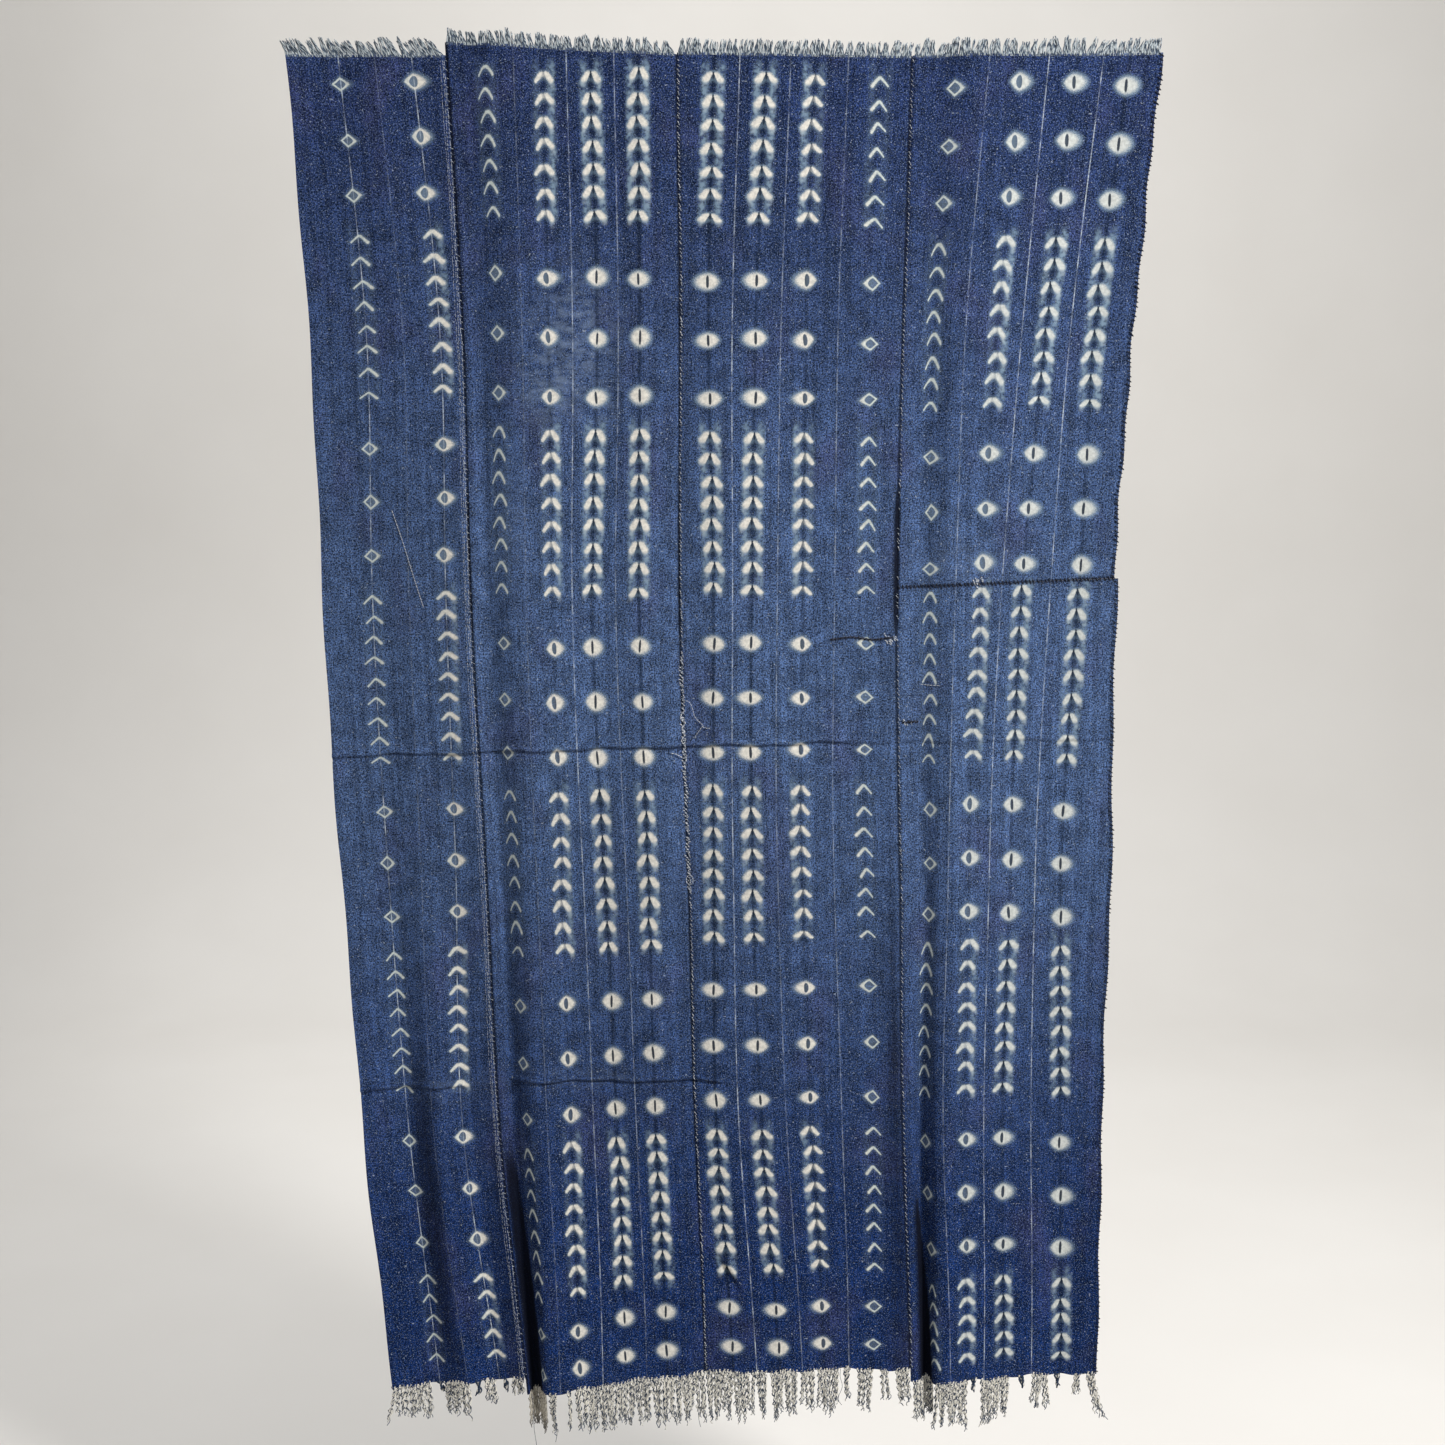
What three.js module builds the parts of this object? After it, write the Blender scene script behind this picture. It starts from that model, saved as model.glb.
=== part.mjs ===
// A hanging cloth of four indigo-dyed cotton strips, sewn side by side, with fringed ends.
// Millimetres, +Z up. X runs to the right along the top edge, and +Y runs from the cloth to the wall behind it.
// The origin is the middle of the top edge, in the sheet.
import * as THREE from 'three';

// Main sizes
const DROP = 1667; // top edge to hem
const SHEET = 2; // thickness of the woven cotton
const SEAM = 0.6; // gap between two edges that are sewn together
const BEND = 12; // length of cloth over which one fold face turns into the next
const STEP = 1; // step of the walk across the cloth
const ROW = 58; // height of one row of facets
const ROW_CLEAR = 0.4; // least height of a piece's first and last row, as a share of a row
const COLUMN = 28; // greatest width of one column of facets
const BACKING = 5; // height of the strip that holds a fringe's roots
const STRAND_FILL = 0.6; // share of its pitch that a strand takes up at its root
const TIP_WIDTH = 0.5; // width of a strand's tip as a share of its root
const TIP_SHEET = 0.6; // thickness of a strand's tip as a share of its root
const STRAY = 0.22; // how much a strand's length differs from its neighbours'
const STRAY_RATE = 12.9898; // how fast that difference changes along the edge
const STRAY_SHIFT = 31; // keeps the strips' differences unlike each other
const ROOT_CLEAR = 1; // least distance of a facet column from a strand's root
const STEEP = 45; // heading in degrees past which a fold face has at least two columns of facets
const COTTON_ROUGHNESS = 0.95;

// The left selvedge at six heights, as shares of the drop: its place along X, how far it stands in front of the
// top edge, and how far the weave has drawn in across the cloth.
const HANG = [
  { height: 0.0, x: -525, forward: 0, drawIn: 1.0 },
  { height: 0.2, x: -503, forward: 5, drawIn: 0.963 },
  { height: 0.4, x: -496, forward: 8, drawIn: 0.952 },
  { height: 0.6, x: -480, forward: 13, drawIn: 0.948 },
  { height: 0.8, x: -460, forward: 18, drawIn: 0.946 },
  { height: 1.0, x: -432, forward: 17, drawIn: 0.95 },
];

// Fold faces from left to right: flat width, and heading in degrees at four heights. A face with a positive
// heading comes forward as it runs to the right.
const LEVELS = { top: 0, middle: 0.5, low: 0.8, hem: 1 };
const FACES = [
  { strip: 1, width: 64, top: -4, middle: -6, low: -20, hem: -14 },
  { strip: 1, width: 42, top: 4, middle: 6, low: 26, hem: 20 },
  { strip: 1, width: 46, top: -3, middle: -4, low: -22, hem: -16 },
  { strip: 1, width: 40, top: 2, middle: 6, low: 14, hem: 24 },
  { strip: 2, width: 24, top: -6, middle: -26, low: -34, hem: -66 },
  { strip: 2, width: 34, top: 12, middle: 30, low: 38, hem: 66 },
  { strip: 2, width: 14, top: 4, middle: 6, low: 8, hem: 12 },
  { strip: 2, width: 46, top: -3, middle: -8, low: -10, hem: -16 },
  { strip: 2, width: 56, top: -2, middle: -6, low: -6, hem: -8 },
  { strip: 2, width: 58, top: 2, middle: 5, low: 4, hem: 2 },
  { strip: 2, width: 46, top: -4, middle: -8, low: -8, hem: -8 },
  { strip: 3, width: 44, top: 4, middle: 8, low: 8, hem: 8 },
  { strip: 3, width: 62, top: 0, middle: 2, low: 2, hem: 4 },
  { strip: 3, width: 62, top: -1, middle: -4, low: -5, hem: -6 },
  { strip: 3, width: 78, top: 1, middle: 2, low: 3, hem: 2 },
  { strip: 3, width: 36, top: 2, middle: 6, low: 10, hem: 10 },
  { strip: 4, width: 14, top: -6, middle: -18, low: -24, hem: -20 },
  { strip: 4, width: 20, top: -4, middle: -14, low: -44, hem: -70 },
  { strip: 4, width: 26, top: 14, middle: 30, low: 54, hem: 72 },
  { strip: 4, width: 14, top: 6, middle: 10, low: 12, hem: 12 },
  { strip: 4, width: 44, top: -3, middle: -10, low: -12, hem: -16 },
  { strip: 4, width: 52, top: -2, middle: -8, low: -10, hem: -12 },
  { strip: 4, width: 70, top: -1, middle: -3, low: -5, hem: -5 },
  { strip: 4, width: 58, top: 2, middle: 4, low: 5, hem: 6 },
];

// Woven pieces: flat width at the upper and lower edge, and the heights of their four corners.
const PIECES = [
  {
    name: 'strip_1', strip: 1, upper: 192, lower: 192,
    topLeft: -1, topRight: -1, endLeft: -1678, endRight: -1664,
  },
  {
    name: 'strip_2', strip: 2, upper: 278, lower: 278,
    topLeft: 14, topRight: 0, endLeft: -1685, endRight: -1659,
  },
  {
    name: 'strip_3', strip: 3, upper: 282, lower: 282,
    topLeft: 2, topRight: -3, endLeft: -1657, endRight: -1650,
  },
  {
    name: 'strip_4_upper', strip: 4, upper: 298, lower: 286,
    topLeft: -2, topRight: 0, endLeft: -636, endRight: -625,
  },
  {
    name: 'strip_4_lower', strip: 4, upper: 290, lower: 288,
    topLeft: -636, topRight: -625, endLeft: -1662, endRight: -1664,
  },
];

// Tufts of the hem's fringe, measured along the flat hem from each strip's left edge.
const HEM_TUFTS = [
  { strip: 1, from: 2, to: 52, strands: 9, length: 40 },
  { strip: 1, from: 62, to: 68, strands: 1, length: 13 },
  { strip: 1, from: 72, to: 110, strands: 7, length: 41 },
  { strip: 1, from: 120, to: 126, strands: 1, length: 12 },
  { strip: 1, from: 130, to: 146, strands: 3, length: 26 },
  { strip: 1, from: 156, to: 162, strands: 1, length: 11 },
  { strip: 1, from: 176, to: 190, strands: 3, length: 18 },
  { strip: 2, from: 4, to: 54, strands: 9, length: 46 },
  { strip: 2, from: 62, to: 72, strands: 2, length: 56 },
  { strip: 2, from: 87, to: 92, strands: 1, length: 50 },
  { strip: 2, from: 98, to: 150, strands: 10, length: 56 },
  { strip: 2, from: 154, to: 216, strands: 12, length: 56 },
  { strip: 2, from: 220, to: 275, strands: 11, length: 60 },
  { strip: 3, from: 3, to: 60, strands: 11, length: 60 },
  { strip: 3, from: 64, to: 84, strands: 4, length: 54 },
  { strip: 3, from: 92, to: 126, strands: 6, length: 58 },
  { strip: 3, from: 134, to: 150, strands: 3, length: 52 },
  { strip: 3, from: 156, to: 182, strands: 4, length: 56 },
  { strip: 3, from: 190, to: 199, strands: 2, length: 42 },
  { strip: 3, from: 209, to: 230, strands: 4, length: 58 },
  { strip: 3, from: 241, to: 251, strands: 2, length: 42 },
  { strip: 3, from: 262, to: 280, strands: 4, length: 46 },
  { strip: 4, from: 4, to: 52, strands: 9, length: 48 },
  { strip: 4, from: 62, to: 104, strands: 8, length: 58 },
  { strip: 4, from: 113, to: 119, strands: 1, length: 13 },
  { strip: 4, from: 126, to: 166, strands: 7, length: 54 },
  { strip: 4, from: 179, to: 185, strands: 1, length: 13 },
  { strip: 4, from: 200, to: 222, strands: 4, length: 42 },
  { strip: 4, from: 231, to: 237, strands: 1, length: 15 },
  { strip: 4, from: 258, to: 266, strands: 2, length: 22 },
  { strip: 4, from: 274, to: 286, strands: 3, length: 54 },
];

// The frayed upper ends stand in one even row on each strip. Lean is how far a tip stands right of its root.
const TOP_TUFTS = [
  { strip: 1, from: 2, to: 190, strands: 20, length: 12, lean: -9 },
  { strip: 2, from: 2, to: 276, strands: 30, length: 9, lean: -2 },
  { strip: 3, from: 2, to: 280, strands: 30, length: 10, lean: 2 },
  { strip: 4, from: 2, to: 296, strands: 32, length: 11, lean: 2 },
];
const LEAN_LOSS = 0.5; // share of the top strands' lean that is lost by the strip's right edge
const HEM_LEAN = 3; // sway of the hem's strands to either side
const HEM_WAVE = 17; // flat distance over which that sway changes
const CORNER_LEAN = 16; // outward lean of the tassel at the lower right corner

const INDIGO = new THREE.Color(0x3a507d);
const MARLED_YARN = new THREE.Color(0xa29f98);
const FRAYED_YARN = new THREE.Color(0x7f8a99);

// Smooth curve through the values of one column of a table, at the places given by another.
function alongTable(places, values, at) {
  const last = places.length - 1;
  let i = 0;
  while (i < last - 1 && at > places[i + 1]) i += 1;
  const span = places[i + 1] - places[i];
  const t = (at - places[i]) / span;
  const slope = (k) => {
    const before = Math.max(k - 1, 0);
    const after = Math.min(k + 1, last);
    return (values[after] - values[before]) / (places[after] - places[before]);
  };
  const rise = values[i + 1] - values[i];
  const bulgeIn = slope(i) * span - rise;
  const bulgeOut = rise - slope(i + 1) * span;
  return values[i] + t * rise + t * (1 - t) * ((1 - t) * bulgeIn + t * bulgeOut);
}

const HANG_HEIGHTS = HANG.map((row) => row.height);
const hangAt = (column, height) => alongTable(HANG_HEIGHTS, HANG.map((row) => row[column]), height);
const LEVEL_HEIGHTS = Object.values(LEVELS);
const LEVEL_NAMES = Object.keys(LEVELS);

// Heading of the cloth, in radians, at a flat distance from the left selvedge.
function headingAt(flat, angles) {
  let heading = angles[0];
  let edge = 0;
  for (let k = 1; k < FACES.length; k += 1) {
    edge += FACES[k - 1].width;
    const turn = THREE.MathUtils.smoothstep(flat, edge - BEND / 2, edge + BEND / 2);
    heading += (angles[k] - angles[k - 1]) * turn;
  }
  return THREE.MathUtils.degToRad(heading);
}

// Level sections through the hanging cloth, walked from the left selvedge and kept by height.
const sections = new Map();
function sectionAt(z) {
  const height = -z / DROP;
  if (sections.has(height)) return sections.get(height);
  const angles = FACES.map((face) => {
    const headings = LEVEL_NAMES.map((level) => face[level]);
    return alongTable(LEVEL_HEIGHTS, headings, height);
  });
  const stride = STEP * hangAt('drawIn', height);
  const total = flatWidth(FACES);
  const walk = [{
    x: hangAt('x', height),
    forward: hangAt('forward', height),
    heading: headingAt(0, angles),
  }];
  for (let flat = STEP; flat <= total; flat += STEP) {
    const last = walk[walk.length - 1];
    const middle = headingAt(flat - STEP / 2, angles);
    walk.push({
      x: last.x + stride * Math.cos(middle),
      forward: last.forward + stride * Math.sin(middle),
      heading: headingAt(flat, angles),
    });
  }
  sections.set(height, walk);
  return walk;
}

// A point of the cloth at a flat distance and a height, set forward of the middle of the sheet by a depth.
function clothPoint(flat, z, depth) {
  const walk = sectionAt(z);
  const i = Math.min(Math.floor(flat / STEP), walk.length - 2);
  const t = flat / STEP - i;
  const mix = (column) => THREE.MathUtils.lerp(walk[i][column], walk[i + 1][column], t);
  const heading = mix('heading');
  return new THREE.Vector3(
    mix('x') - depth * Math.sin(heading),
    -mix('forward') - depth * Math.cos(heading),
    z,
  );
}

const stripFaces = (strip) => FACES.filter((face) => face.strip === strip);
const flatWidth = (faces) => faces.reduce((sum, face) => sum + face.width, 0);
const stripStart = (strip) => flatWidth(FACES.filter((face) => face.strip < strip));

// Flat distances of the facet columns of a strip, from its left edge, closer together in the folds.
function stripColumns(strip) {
  const columns = [0];
  for (const face of stripFaces(strip)) {
    const start = columns[columns.length - 1];
    const parts = Math.max(Math.ceil(face.width / COLUMN), Math.abs(face.hem) > STEEP ? 2 : 1);
    for (let k = 1; k <= parts; k += 1) columns.push(start + (face.width * k) / parts);
  }
  return columns;
}

// Collects the corners and triangles of one closed solid.
class Solid {
  constructor() {
    this.corners = [];
    this.triangles = [];
  }

  corner(point) {
    this.corners.push(point.x, point.y, point.z);
    return this.corners.length / 3 - 1;
  }

  quad(a, b, c, d) {
    this.triangles.push(a, b, c, a, c, d);
  }

  mesh(name, color) {
    const geometry = new THREE.BufferGeometry();
    geometry.setAttribute('position', new THREE.Float32BufferAttribute(this.corners, 3));
    geometry.setIndex(this.triangles);
    geometry.computeVertexNormals();
    const material = new THREE.MeshStandardMaterial({ color, roughness: COTTON_ROUGHNESS, metalness: 0 });
    const mesh = new THREE.Mesh(geometry, material);
    mesh.name = name;
    return mesh;
  }
}

// Heights of a piece's rows at one place across it: its two edges, and between them the levels that all share.
function rowHeights(top, end, first, last) {
  const heights = [top];
  for (let level = first; level <= last; level += 1) heights.push(-level * ROW);
  heights.push(end);
  return heights;
}

// One woven piece: a front and a back face on the fold surface, closed by its four edges.
function wovenPiece(piece) {
  const solid = new Solid();
  const columns = stripColumns(piece.strip);
  const nominal = columns[columns.length - 1];
  const start = stripStart(piece.strip);
  const first = Math.ceil(-Math.min(piece.topLeft, piece.topRight) / ROW + ROW_CLEAR);
  const last = Math.floor(-Math.max(piece.endLeft, piece.endRight) / ROW - ROW_CLEAR);
  const rows = last - first + 2;
  const front = [];
  const back = [];
  for (let j = 0; j <= rows; j += 1) {
    for (const column of columns) {
      const across = column / nominal;
      const top = THREE.MathUtils.lerp(piece.topLeft, piece.topRight, across) - SEAM / 2;
      const end = THREE.MathUtils.lerp(piece.endLeft, piece.endRight, across) + SEAM / 2;
      const z = rowHeights(top, end, first, last)[j];
      const down = (top - z) / (top - end);
      const width = THREE.MathUtils.lerp(piece.upper, piece.lower, down) - SEAM;
      const flat = start + SEAM / 2 + across * width;
      front.push(solid.corner(clothPoint(flat, z, SHEET / 2)));
      back.push(solid.corner(clothPoint(flat, z, -SHEET / 2)));
    }
  }
  const wide = columns.length;
  const at = (i, j) => j * wide + i;
  for (let j = 0; j < rows; j += 1) {
    for (let i = 0; i < wide - 1; i += 1) {
      solid.quad(front[at(i, j)], front[at(i, j + 1)], front[at(i + 1, j + 1)], front[at(i + 1, j)]);
      solid.quad(back[at(i, j)], back[at(i + 1, j)], back[at(i + 1, j + 1)], back[at(i, j + 1)]);
    }
    const right = wide - 1;
    solid.quad(front[at(0, j)], back[at(0, j)], back[at(0, j + 1)], front[at(0, j + 1)]);
    solid.quad(front[at(right, j)], front[at(right, j + 1)], back[at(right, j + 1)], back[at(right, j)]);
  }
  for (let i = 0; i < wide - 1; i += 1) {
    solid.quad(front[at(i, 0)], front[at(i + 1, 0)], back[at(i + 1, 0)], back[at(i, 0)]);
    solid.quad(front[at(i, rows)], back[at(i, rows)], back[at(i + 1, rows)], front[at(i + 1, rows)]);
  }
  return solid.mesh(piece.name, INDIGO);
}

// Strands of a strip's tufts, from left to right, each with its root's ends, its length and its lean.
function tuftStrands(tufts, leanOf) {
  const strands = [];
  for (const tuft of tufts) {
    const pitch = (tuft.to - tuft.from) / tuft.strands;
    for (let k = 0; k < tuft.strands; k += 1) {
      const root = tuft.from + pitch * (k + (1 - STRAND_FILL) / 2);
      const uneven = Math.sin(STRAY_RATE * (root + STRAY_SHIFT * tuft.strip));
      strands.push({
        from: root,
        to: root + pitch * STRAND_FILL,
        length: tuft.length * (1 - STRAY / 2 + (STRAY / 2) * uneven),
        lean: leanOf(tuft, root),
      });
    }
  }
  return strands;
}

const isClear = (place, strand) => place < strand.from - ROOT_CLEAR || place > strand.to + ROOT_CLEAR;

// Fringe of one strip: a narrow backing just off the cloth's edge, with its strands grown out of it.
// Way is 1 for strands that stand up from the top edge and -1 for strands that hang from the hem.
function fringe(name, strip, strands, width, edgeAt, way, color) {
  const solid = new Solid();
  const start = stripStart(strip);
  const ends = strands.flatMap((strand) => [strand.from, strand.to]);
  const free = stripColumns(strip)
    .filter((column) => column > 0 && column < width - ROOT_CLEAR)
    .filter((column) => strands.every((strand) => isClear(column, strand)));
  const places = [SEAM / 2, width - SEAM / 2, ...ends, ...free].sort((a, b) => a - b);
  const quad = (a, b, c, d) => (way < 0 ? solid.quad(a, b, c, d) : solid.quad(d, c, b, a));
  const posts = places.map((place) => {
    const near = edgeAt(place / width) + way * (SEAM / 2);
    const far = near + way * BACKING;
    const flat = start + place;
    return {
      place,
      nearFront: solid.corner(clothPoint(flat, near, SHEET / 2)),
      nearBack: solid.corner(clothPoint(flat, near, -SHEET / 2)),
      farFront: solid.corner(clothPoint(flat, far, SHEET / 2)),
      farBack: solid.corner(clothPoint(flat, far, -SHEET / 2)),
      far,
    };
  });
  for (let k = 0; k + 1 < posts.length; k += 1) {
    const left = posts[k];
    const right = posts[k + 1];
    quad(left.nearFront, left.farFront, right.farFront, right.nearFront);
    quad(left.nearBack, right.nearBack, right.farBack, left.farBack);
    quad(left.nearFront, right.nearFront, right.nearBack, left.nearBack);
    const strand = strands.find((one) => one.from === left.place && one.to === right.place);
    if (!strand) {
      quad(left.farFront, left.farBack, right.farBack, right.farFront);
      continue;
    }
    const middle = (strand.from + strand.to) / 2;
    const half = ((strand.to - strand.from) / 2) * TIP_WIDTH;
    const tip = (side, depth) => {
      const point = clothPoint(start + middle + side * half, left.far, (depth * SHEET * TIP_SHEET) / 2);
      point.x += strand.lean;
      point.z = (left.far + right.far) / 2 + way * strand.length;
      return solid.corner(point);
    };
    const leftFront = tip(-1, 1);
    const leftBack = tip(-1, -1);
    const rightFront = tip(1, 1);
    const rightBack = tip(1, -1);
    quad(left.farFront, leftFront, rightFront, right.farFront);
    quad(left.farBack, right.farBack, rightBack, leftBack);
    quad(left.farFront, left.farBack, leftBack, leftFront);
    quad(right.farFront, rightFront, rightBack, right.farBack);
    quad(leftFront, leftBack, rightBack, rightFront);
  }
  const first = posts[0];
  const last = posts[posts.length - 1];
  quad(first.nearFront, first.nearBack, first.farBack, first.farFront);
  quad(last.nearFront, last.farFront, last.farBack, last.nearBack);
  return solid.mesh(name, color);
}

const topPiece = (strip) => PIECES.find((piece) => piece.strip === strip);
const endPiece = (strip) => PIECES.findLast((piece) => piece.strip === strip);

function topFringe(strip) {
  const piece = topPiece(strip);
  const tufts = TOP_TUFTS.filter((tuft) => tuft.strip === strip);
  const strands = tuftStrands(tufts, (tuft, root) => tuft.lean * (1 - LEAN_LOSS * (root / piece.upper)));
  const edgeAt = (across) => THREE.MathUtils.lerp(piece.topLeft, piece.topRight, across);
  return fringe(`top_fringe_${strip}`, strip, strands, piece.upper, edgeAt, 1, FRAYED_YARN);
}

function hemFringe(strip) {
  const piece = endPiece(strip);
  const tufts = HEM_TUFTS.filter((tuft) => tuft.strip === strip);
  const cornerTuft = HEM_TUFTS[HEM_TUFTS.length - 1];
  const leanOf = (tuft, root) => (tuft === cornerTuft ? CORNER_LEAN : HEM_LEAN * Math.sin(root / HEM_WAVE));
  const strands = tuftStrands(tufts, leanOf);
  const edgeAt = (across) => THREE.MathUtils.lerp(piece.endLeft, piece.endRight, across);
  return fringe(`hem_fringe_${strip}`, strip, strands, piece.lower, edgeAt, -1, MARLED_YARN);
}

const cloth = new THREE.Group();
for (const piece of PIECES) cloth.add(wovenPiece(piece));
for (const strip of [1, 2, 3, 4]) {
  cloth.add(topFringe(strip));
  cloth.add(hemFringe(strip));
}

export default cloth;
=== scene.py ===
import math

import bpy
import numpy as np
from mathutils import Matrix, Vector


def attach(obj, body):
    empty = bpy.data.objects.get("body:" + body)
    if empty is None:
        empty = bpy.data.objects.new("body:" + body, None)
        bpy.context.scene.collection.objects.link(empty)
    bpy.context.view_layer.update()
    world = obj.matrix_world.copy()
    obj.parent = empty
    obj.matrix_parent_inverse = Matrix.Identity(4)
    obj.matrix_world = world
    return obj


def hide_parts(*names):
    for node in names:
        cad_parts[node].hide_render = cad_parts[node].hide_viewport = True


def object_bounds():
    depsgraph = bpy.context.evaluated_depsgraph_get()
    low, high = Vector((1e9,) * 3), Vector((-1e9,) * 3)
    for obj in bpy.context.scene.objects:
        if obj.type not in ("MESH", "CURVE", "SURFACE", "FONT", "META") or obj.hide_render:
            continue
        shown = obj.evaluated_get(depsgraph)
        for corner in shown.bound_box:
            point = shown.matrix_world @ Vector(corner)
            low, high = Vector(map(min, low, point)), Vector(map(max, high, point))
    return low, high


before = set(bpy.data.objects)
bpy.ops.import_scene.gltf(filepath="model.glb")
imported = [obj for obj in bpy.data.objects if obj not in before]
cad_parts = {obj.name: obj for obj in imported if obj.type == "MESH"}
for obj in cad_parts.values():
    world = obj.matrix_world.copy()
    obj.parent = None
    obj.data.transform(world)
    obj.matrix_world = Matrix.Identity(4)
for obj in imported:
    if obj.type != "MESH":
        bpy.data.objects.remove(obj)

CAD_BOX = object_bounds()

# Sizes in millimetres, heights from the top edge, flat places from the left edge of the flat cloth
MM = 0.001
CM = 10  # the maps on the cloth are in centimetres
DROP = 1667.0
CLOTH = 1.3  # thickness of the woven sheet
SEAM = 0.04  # gap between neighbouring strips, whose edges are sewn to butt
BEND = 12.0  # width in which one fold face turns into the next
CELL = 3.7  # mean size of a mesh face on the cloth
BACKING = 5.0  # length of fringe that is hidden in the narrow backing of its solid
CLOTH_WIDTH = 1050.0
STRIP_START = {1: 0.0, 2: 192.0, 3: 470.0, 4: 752.0}
LONG_SEAMS = [STRIP_START[strip] for strip in (2, 3, 4)]

# How the left edge hangs: share of the drop, x, forward, share of the width left after small puckers
HANG = np.array([
    (0.0, -525, 0, 1.0),
    (0.2, -503, 5, 0.963),
    (0.4, -496, 8, 0.952),
    (0.6, -480, 13, 0.948),
    (0.8, -460, 18, 0.946),
    (1.0, -432, 17, 0.95),
])

# Fold faces from left to right: flat width, then the heading in degrees at four levels of the drop
LEVELS = (0.0, 0.5, 0.8, 1.0)
FACES = np.array([
    (64, -4, -6, -20, -14),
    (42, 4, 6, 26, 20),
    (46, -3, -4, -22, -16),
    (40, 2, 6, 14, 24),
    (24, -6, -26, -34, -66),
    (34, 12, 30, 38, 66),
    (14, 4, 6, 8, 12),
    (46, -3, -8, -10, -16),
    (56, -2, -6, -6, -8),
    (58, 2, 5, 4, 2),
    (46, -4, -8, -8, -8),
    (44, 4, 8, 8, 8),
    (62, 0, 2, 2, 4),
    (62, -1, -4, -5, -6),
    (78, 1, 2, 3, 2),
    (36, 2, 6, 10, 10),
    (14, -6, -18, -24, -20),
    (20, -4, -14, -44, -70),
    (26, 14, 30, 54, 72),
    (14, 6, 10, 12, 12),
    (44, -3, -10, -12, -16),
    (52, -2, -8, -10, -12),
    (70, -1, -3, -5, -5),
    (58, 2, 4, 5, 6),
])

# Pieces: strip, flat width at the top and at the end, height of the top and of the end at left and right
PIECES = {
    "strip_1": (1, 192, 192, -1, -1, -1678, -1664),
    "strip_2": (2, 278, 278, 14, 0, -1685, -1659),
    "strip_3": (3, 282, 282, 2, -3, -1657, -1650),
    "strip_4_upper": (4, 298, 286, -2, 0, -636, -625),
    "strip_4_lower": (4, 290, 288, -636, -625, -1668, -1666),
}
TOP_PIECE = {1: "strip_1", 2: "strip_2", 3: "strip_3", 4: "strip_4_upper"}
HEM_PIECE = {1: "strip_1", 2: "strip_2", 3: "strip_3", 4: "strip_4_lower"}

# Creases and dents: flat place and height of both ends, half width, size (forward above, back below)
CREASES = [
    (-20, -848, 700, -829, 3.0, 2.6),
    (660, -830, 1060, -826, 3.0, 1.2),
    (-20, -1277, 160, -1275, 3.0, 2.6),
    (205, -1266, 520, -1267, 3.0, 3.0),
    (28, -422, 84, -420, 4.0, 1.4),
    (196, -414, 262, -416, 4.0, 1.8),
    (492, -1490, 526, -1552, 5.0, 3.2),
]
CREASE_ROWS = (-838, -1270)  # heights at which the mesh is finer
ROW_FOCUS = (16, 2)  # reach and gain of the finer rows there and at the ends
EDGE_FOCUS = (4, 3)  # the same for the columns at the side edges
SHARP = 60  # degrees, above which an edge of the sheet is sharp
CREASE_FADE = 25  # length over which a crease fades out at each end
# Painted shade in the two dark folds: left edge, right edge above and at the hem, heights where they start
# and end
RECESSES = [(197, 210, 238, -1330, -1690), (765, 769, 806, -1385, -1670)]
BACK_SHADE = 0.35  # share of that painted shade on the back of the cloth
SLACK_SEAM = (-500, -705)  # heights between which the right seam is slack: fewer stitches and a wider painted shadow
# Painted shadow along the long seams: flat place, half width, how much wider it gets where the seam is
# slack
SEAM_SHADOWS = [(193.4, 1.9, 0.0), (469.3, 1.6, 0.0), (751.0, 1.6, 2.2)]
# Soft waves of the sheet: size, wave across, wave down, phase
WAVES = [(0.8, 31, 190, 0), (0.6, 19, -260, 2), (0.5, 140, 46, 0)]
# Rubbed places on the cloth: flat place, height, half width, half height, strength
RUBBED = [
    (335, -335, 52, 72, 0.65),
    (300, -400, 30, 34, 0.50),
    (372, -420, 16, 20, 0.4),
    (255, -560, 24, 60, 0.2),
    (840, -600, 60, 24, 0.25),
    (120, -1275, 60, 20, 0.2),
    (330, -1262, 90, 16, 0.25),
]
# Painted fold shade (the three narrow places) and broad darker patches: flat place, height, half width,
# half height, strength
FOLD_SHADE_AND_DARK_PATCHES = [
    (86, -1450, 17, 210, 0.62),
    (742, -1350, 12, 330, 0.55),
    (186, -1500, 8, 190, 0.5),
    (90, -800, 110, 330, 0.14),
    (330, -1230, 120, 120, 0.08),
    (360, -990, 130, 120, 0.10),
    (600, -990, 120, 120, 0.06),
    (890, -750, 130, 130, 0.10),
]


def smooth_step(value):
    value = np.clip(value, 0, 1)
    return value * value * (3 - 2 * value)


def bell(value):
    """1 at zero, falling off smoothly on both sides."""
    return np.exp(-(value ** 2))


def along_table(places, values, at):
    """A smooth curve through a short table."""
    places = np.asarray(places, float)
    values = np.asarray(values, float)
    last = len(places) - 1
    after = np.minimum(np.arange(last + 1) + 1, last)
    before = np.maximum(np.arange(last + 1) - 1, 0)
    slope = (values[after] - values[before]) / (places[after] - places[before])
    i = np.clip(np.searchsorted(places, at, side="right") - 1, 0, last - 1)
    span = places[i + 1] - places[i]
    rise = values[i + 1] - values[i]
    t = (at - places[i]) / span
    ease_in = (1 - t) * (slope[i] * span - rise)
    ease_out = t * (rise - slope[i + 1] * span)
    return values[i] + t * rise + t * (1 - t) * (ease_in + ease_out)


# The hanging cloth, worked out once on a grid of heights and flat places
GRID_STEP = 4.0
GRID_Z = np.arange(60.0, -1840.0, -GRID_STEP)
GRID_FLAT = np.arange(-40.0, CLOTH_WIDTH + 41.0)


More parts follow.
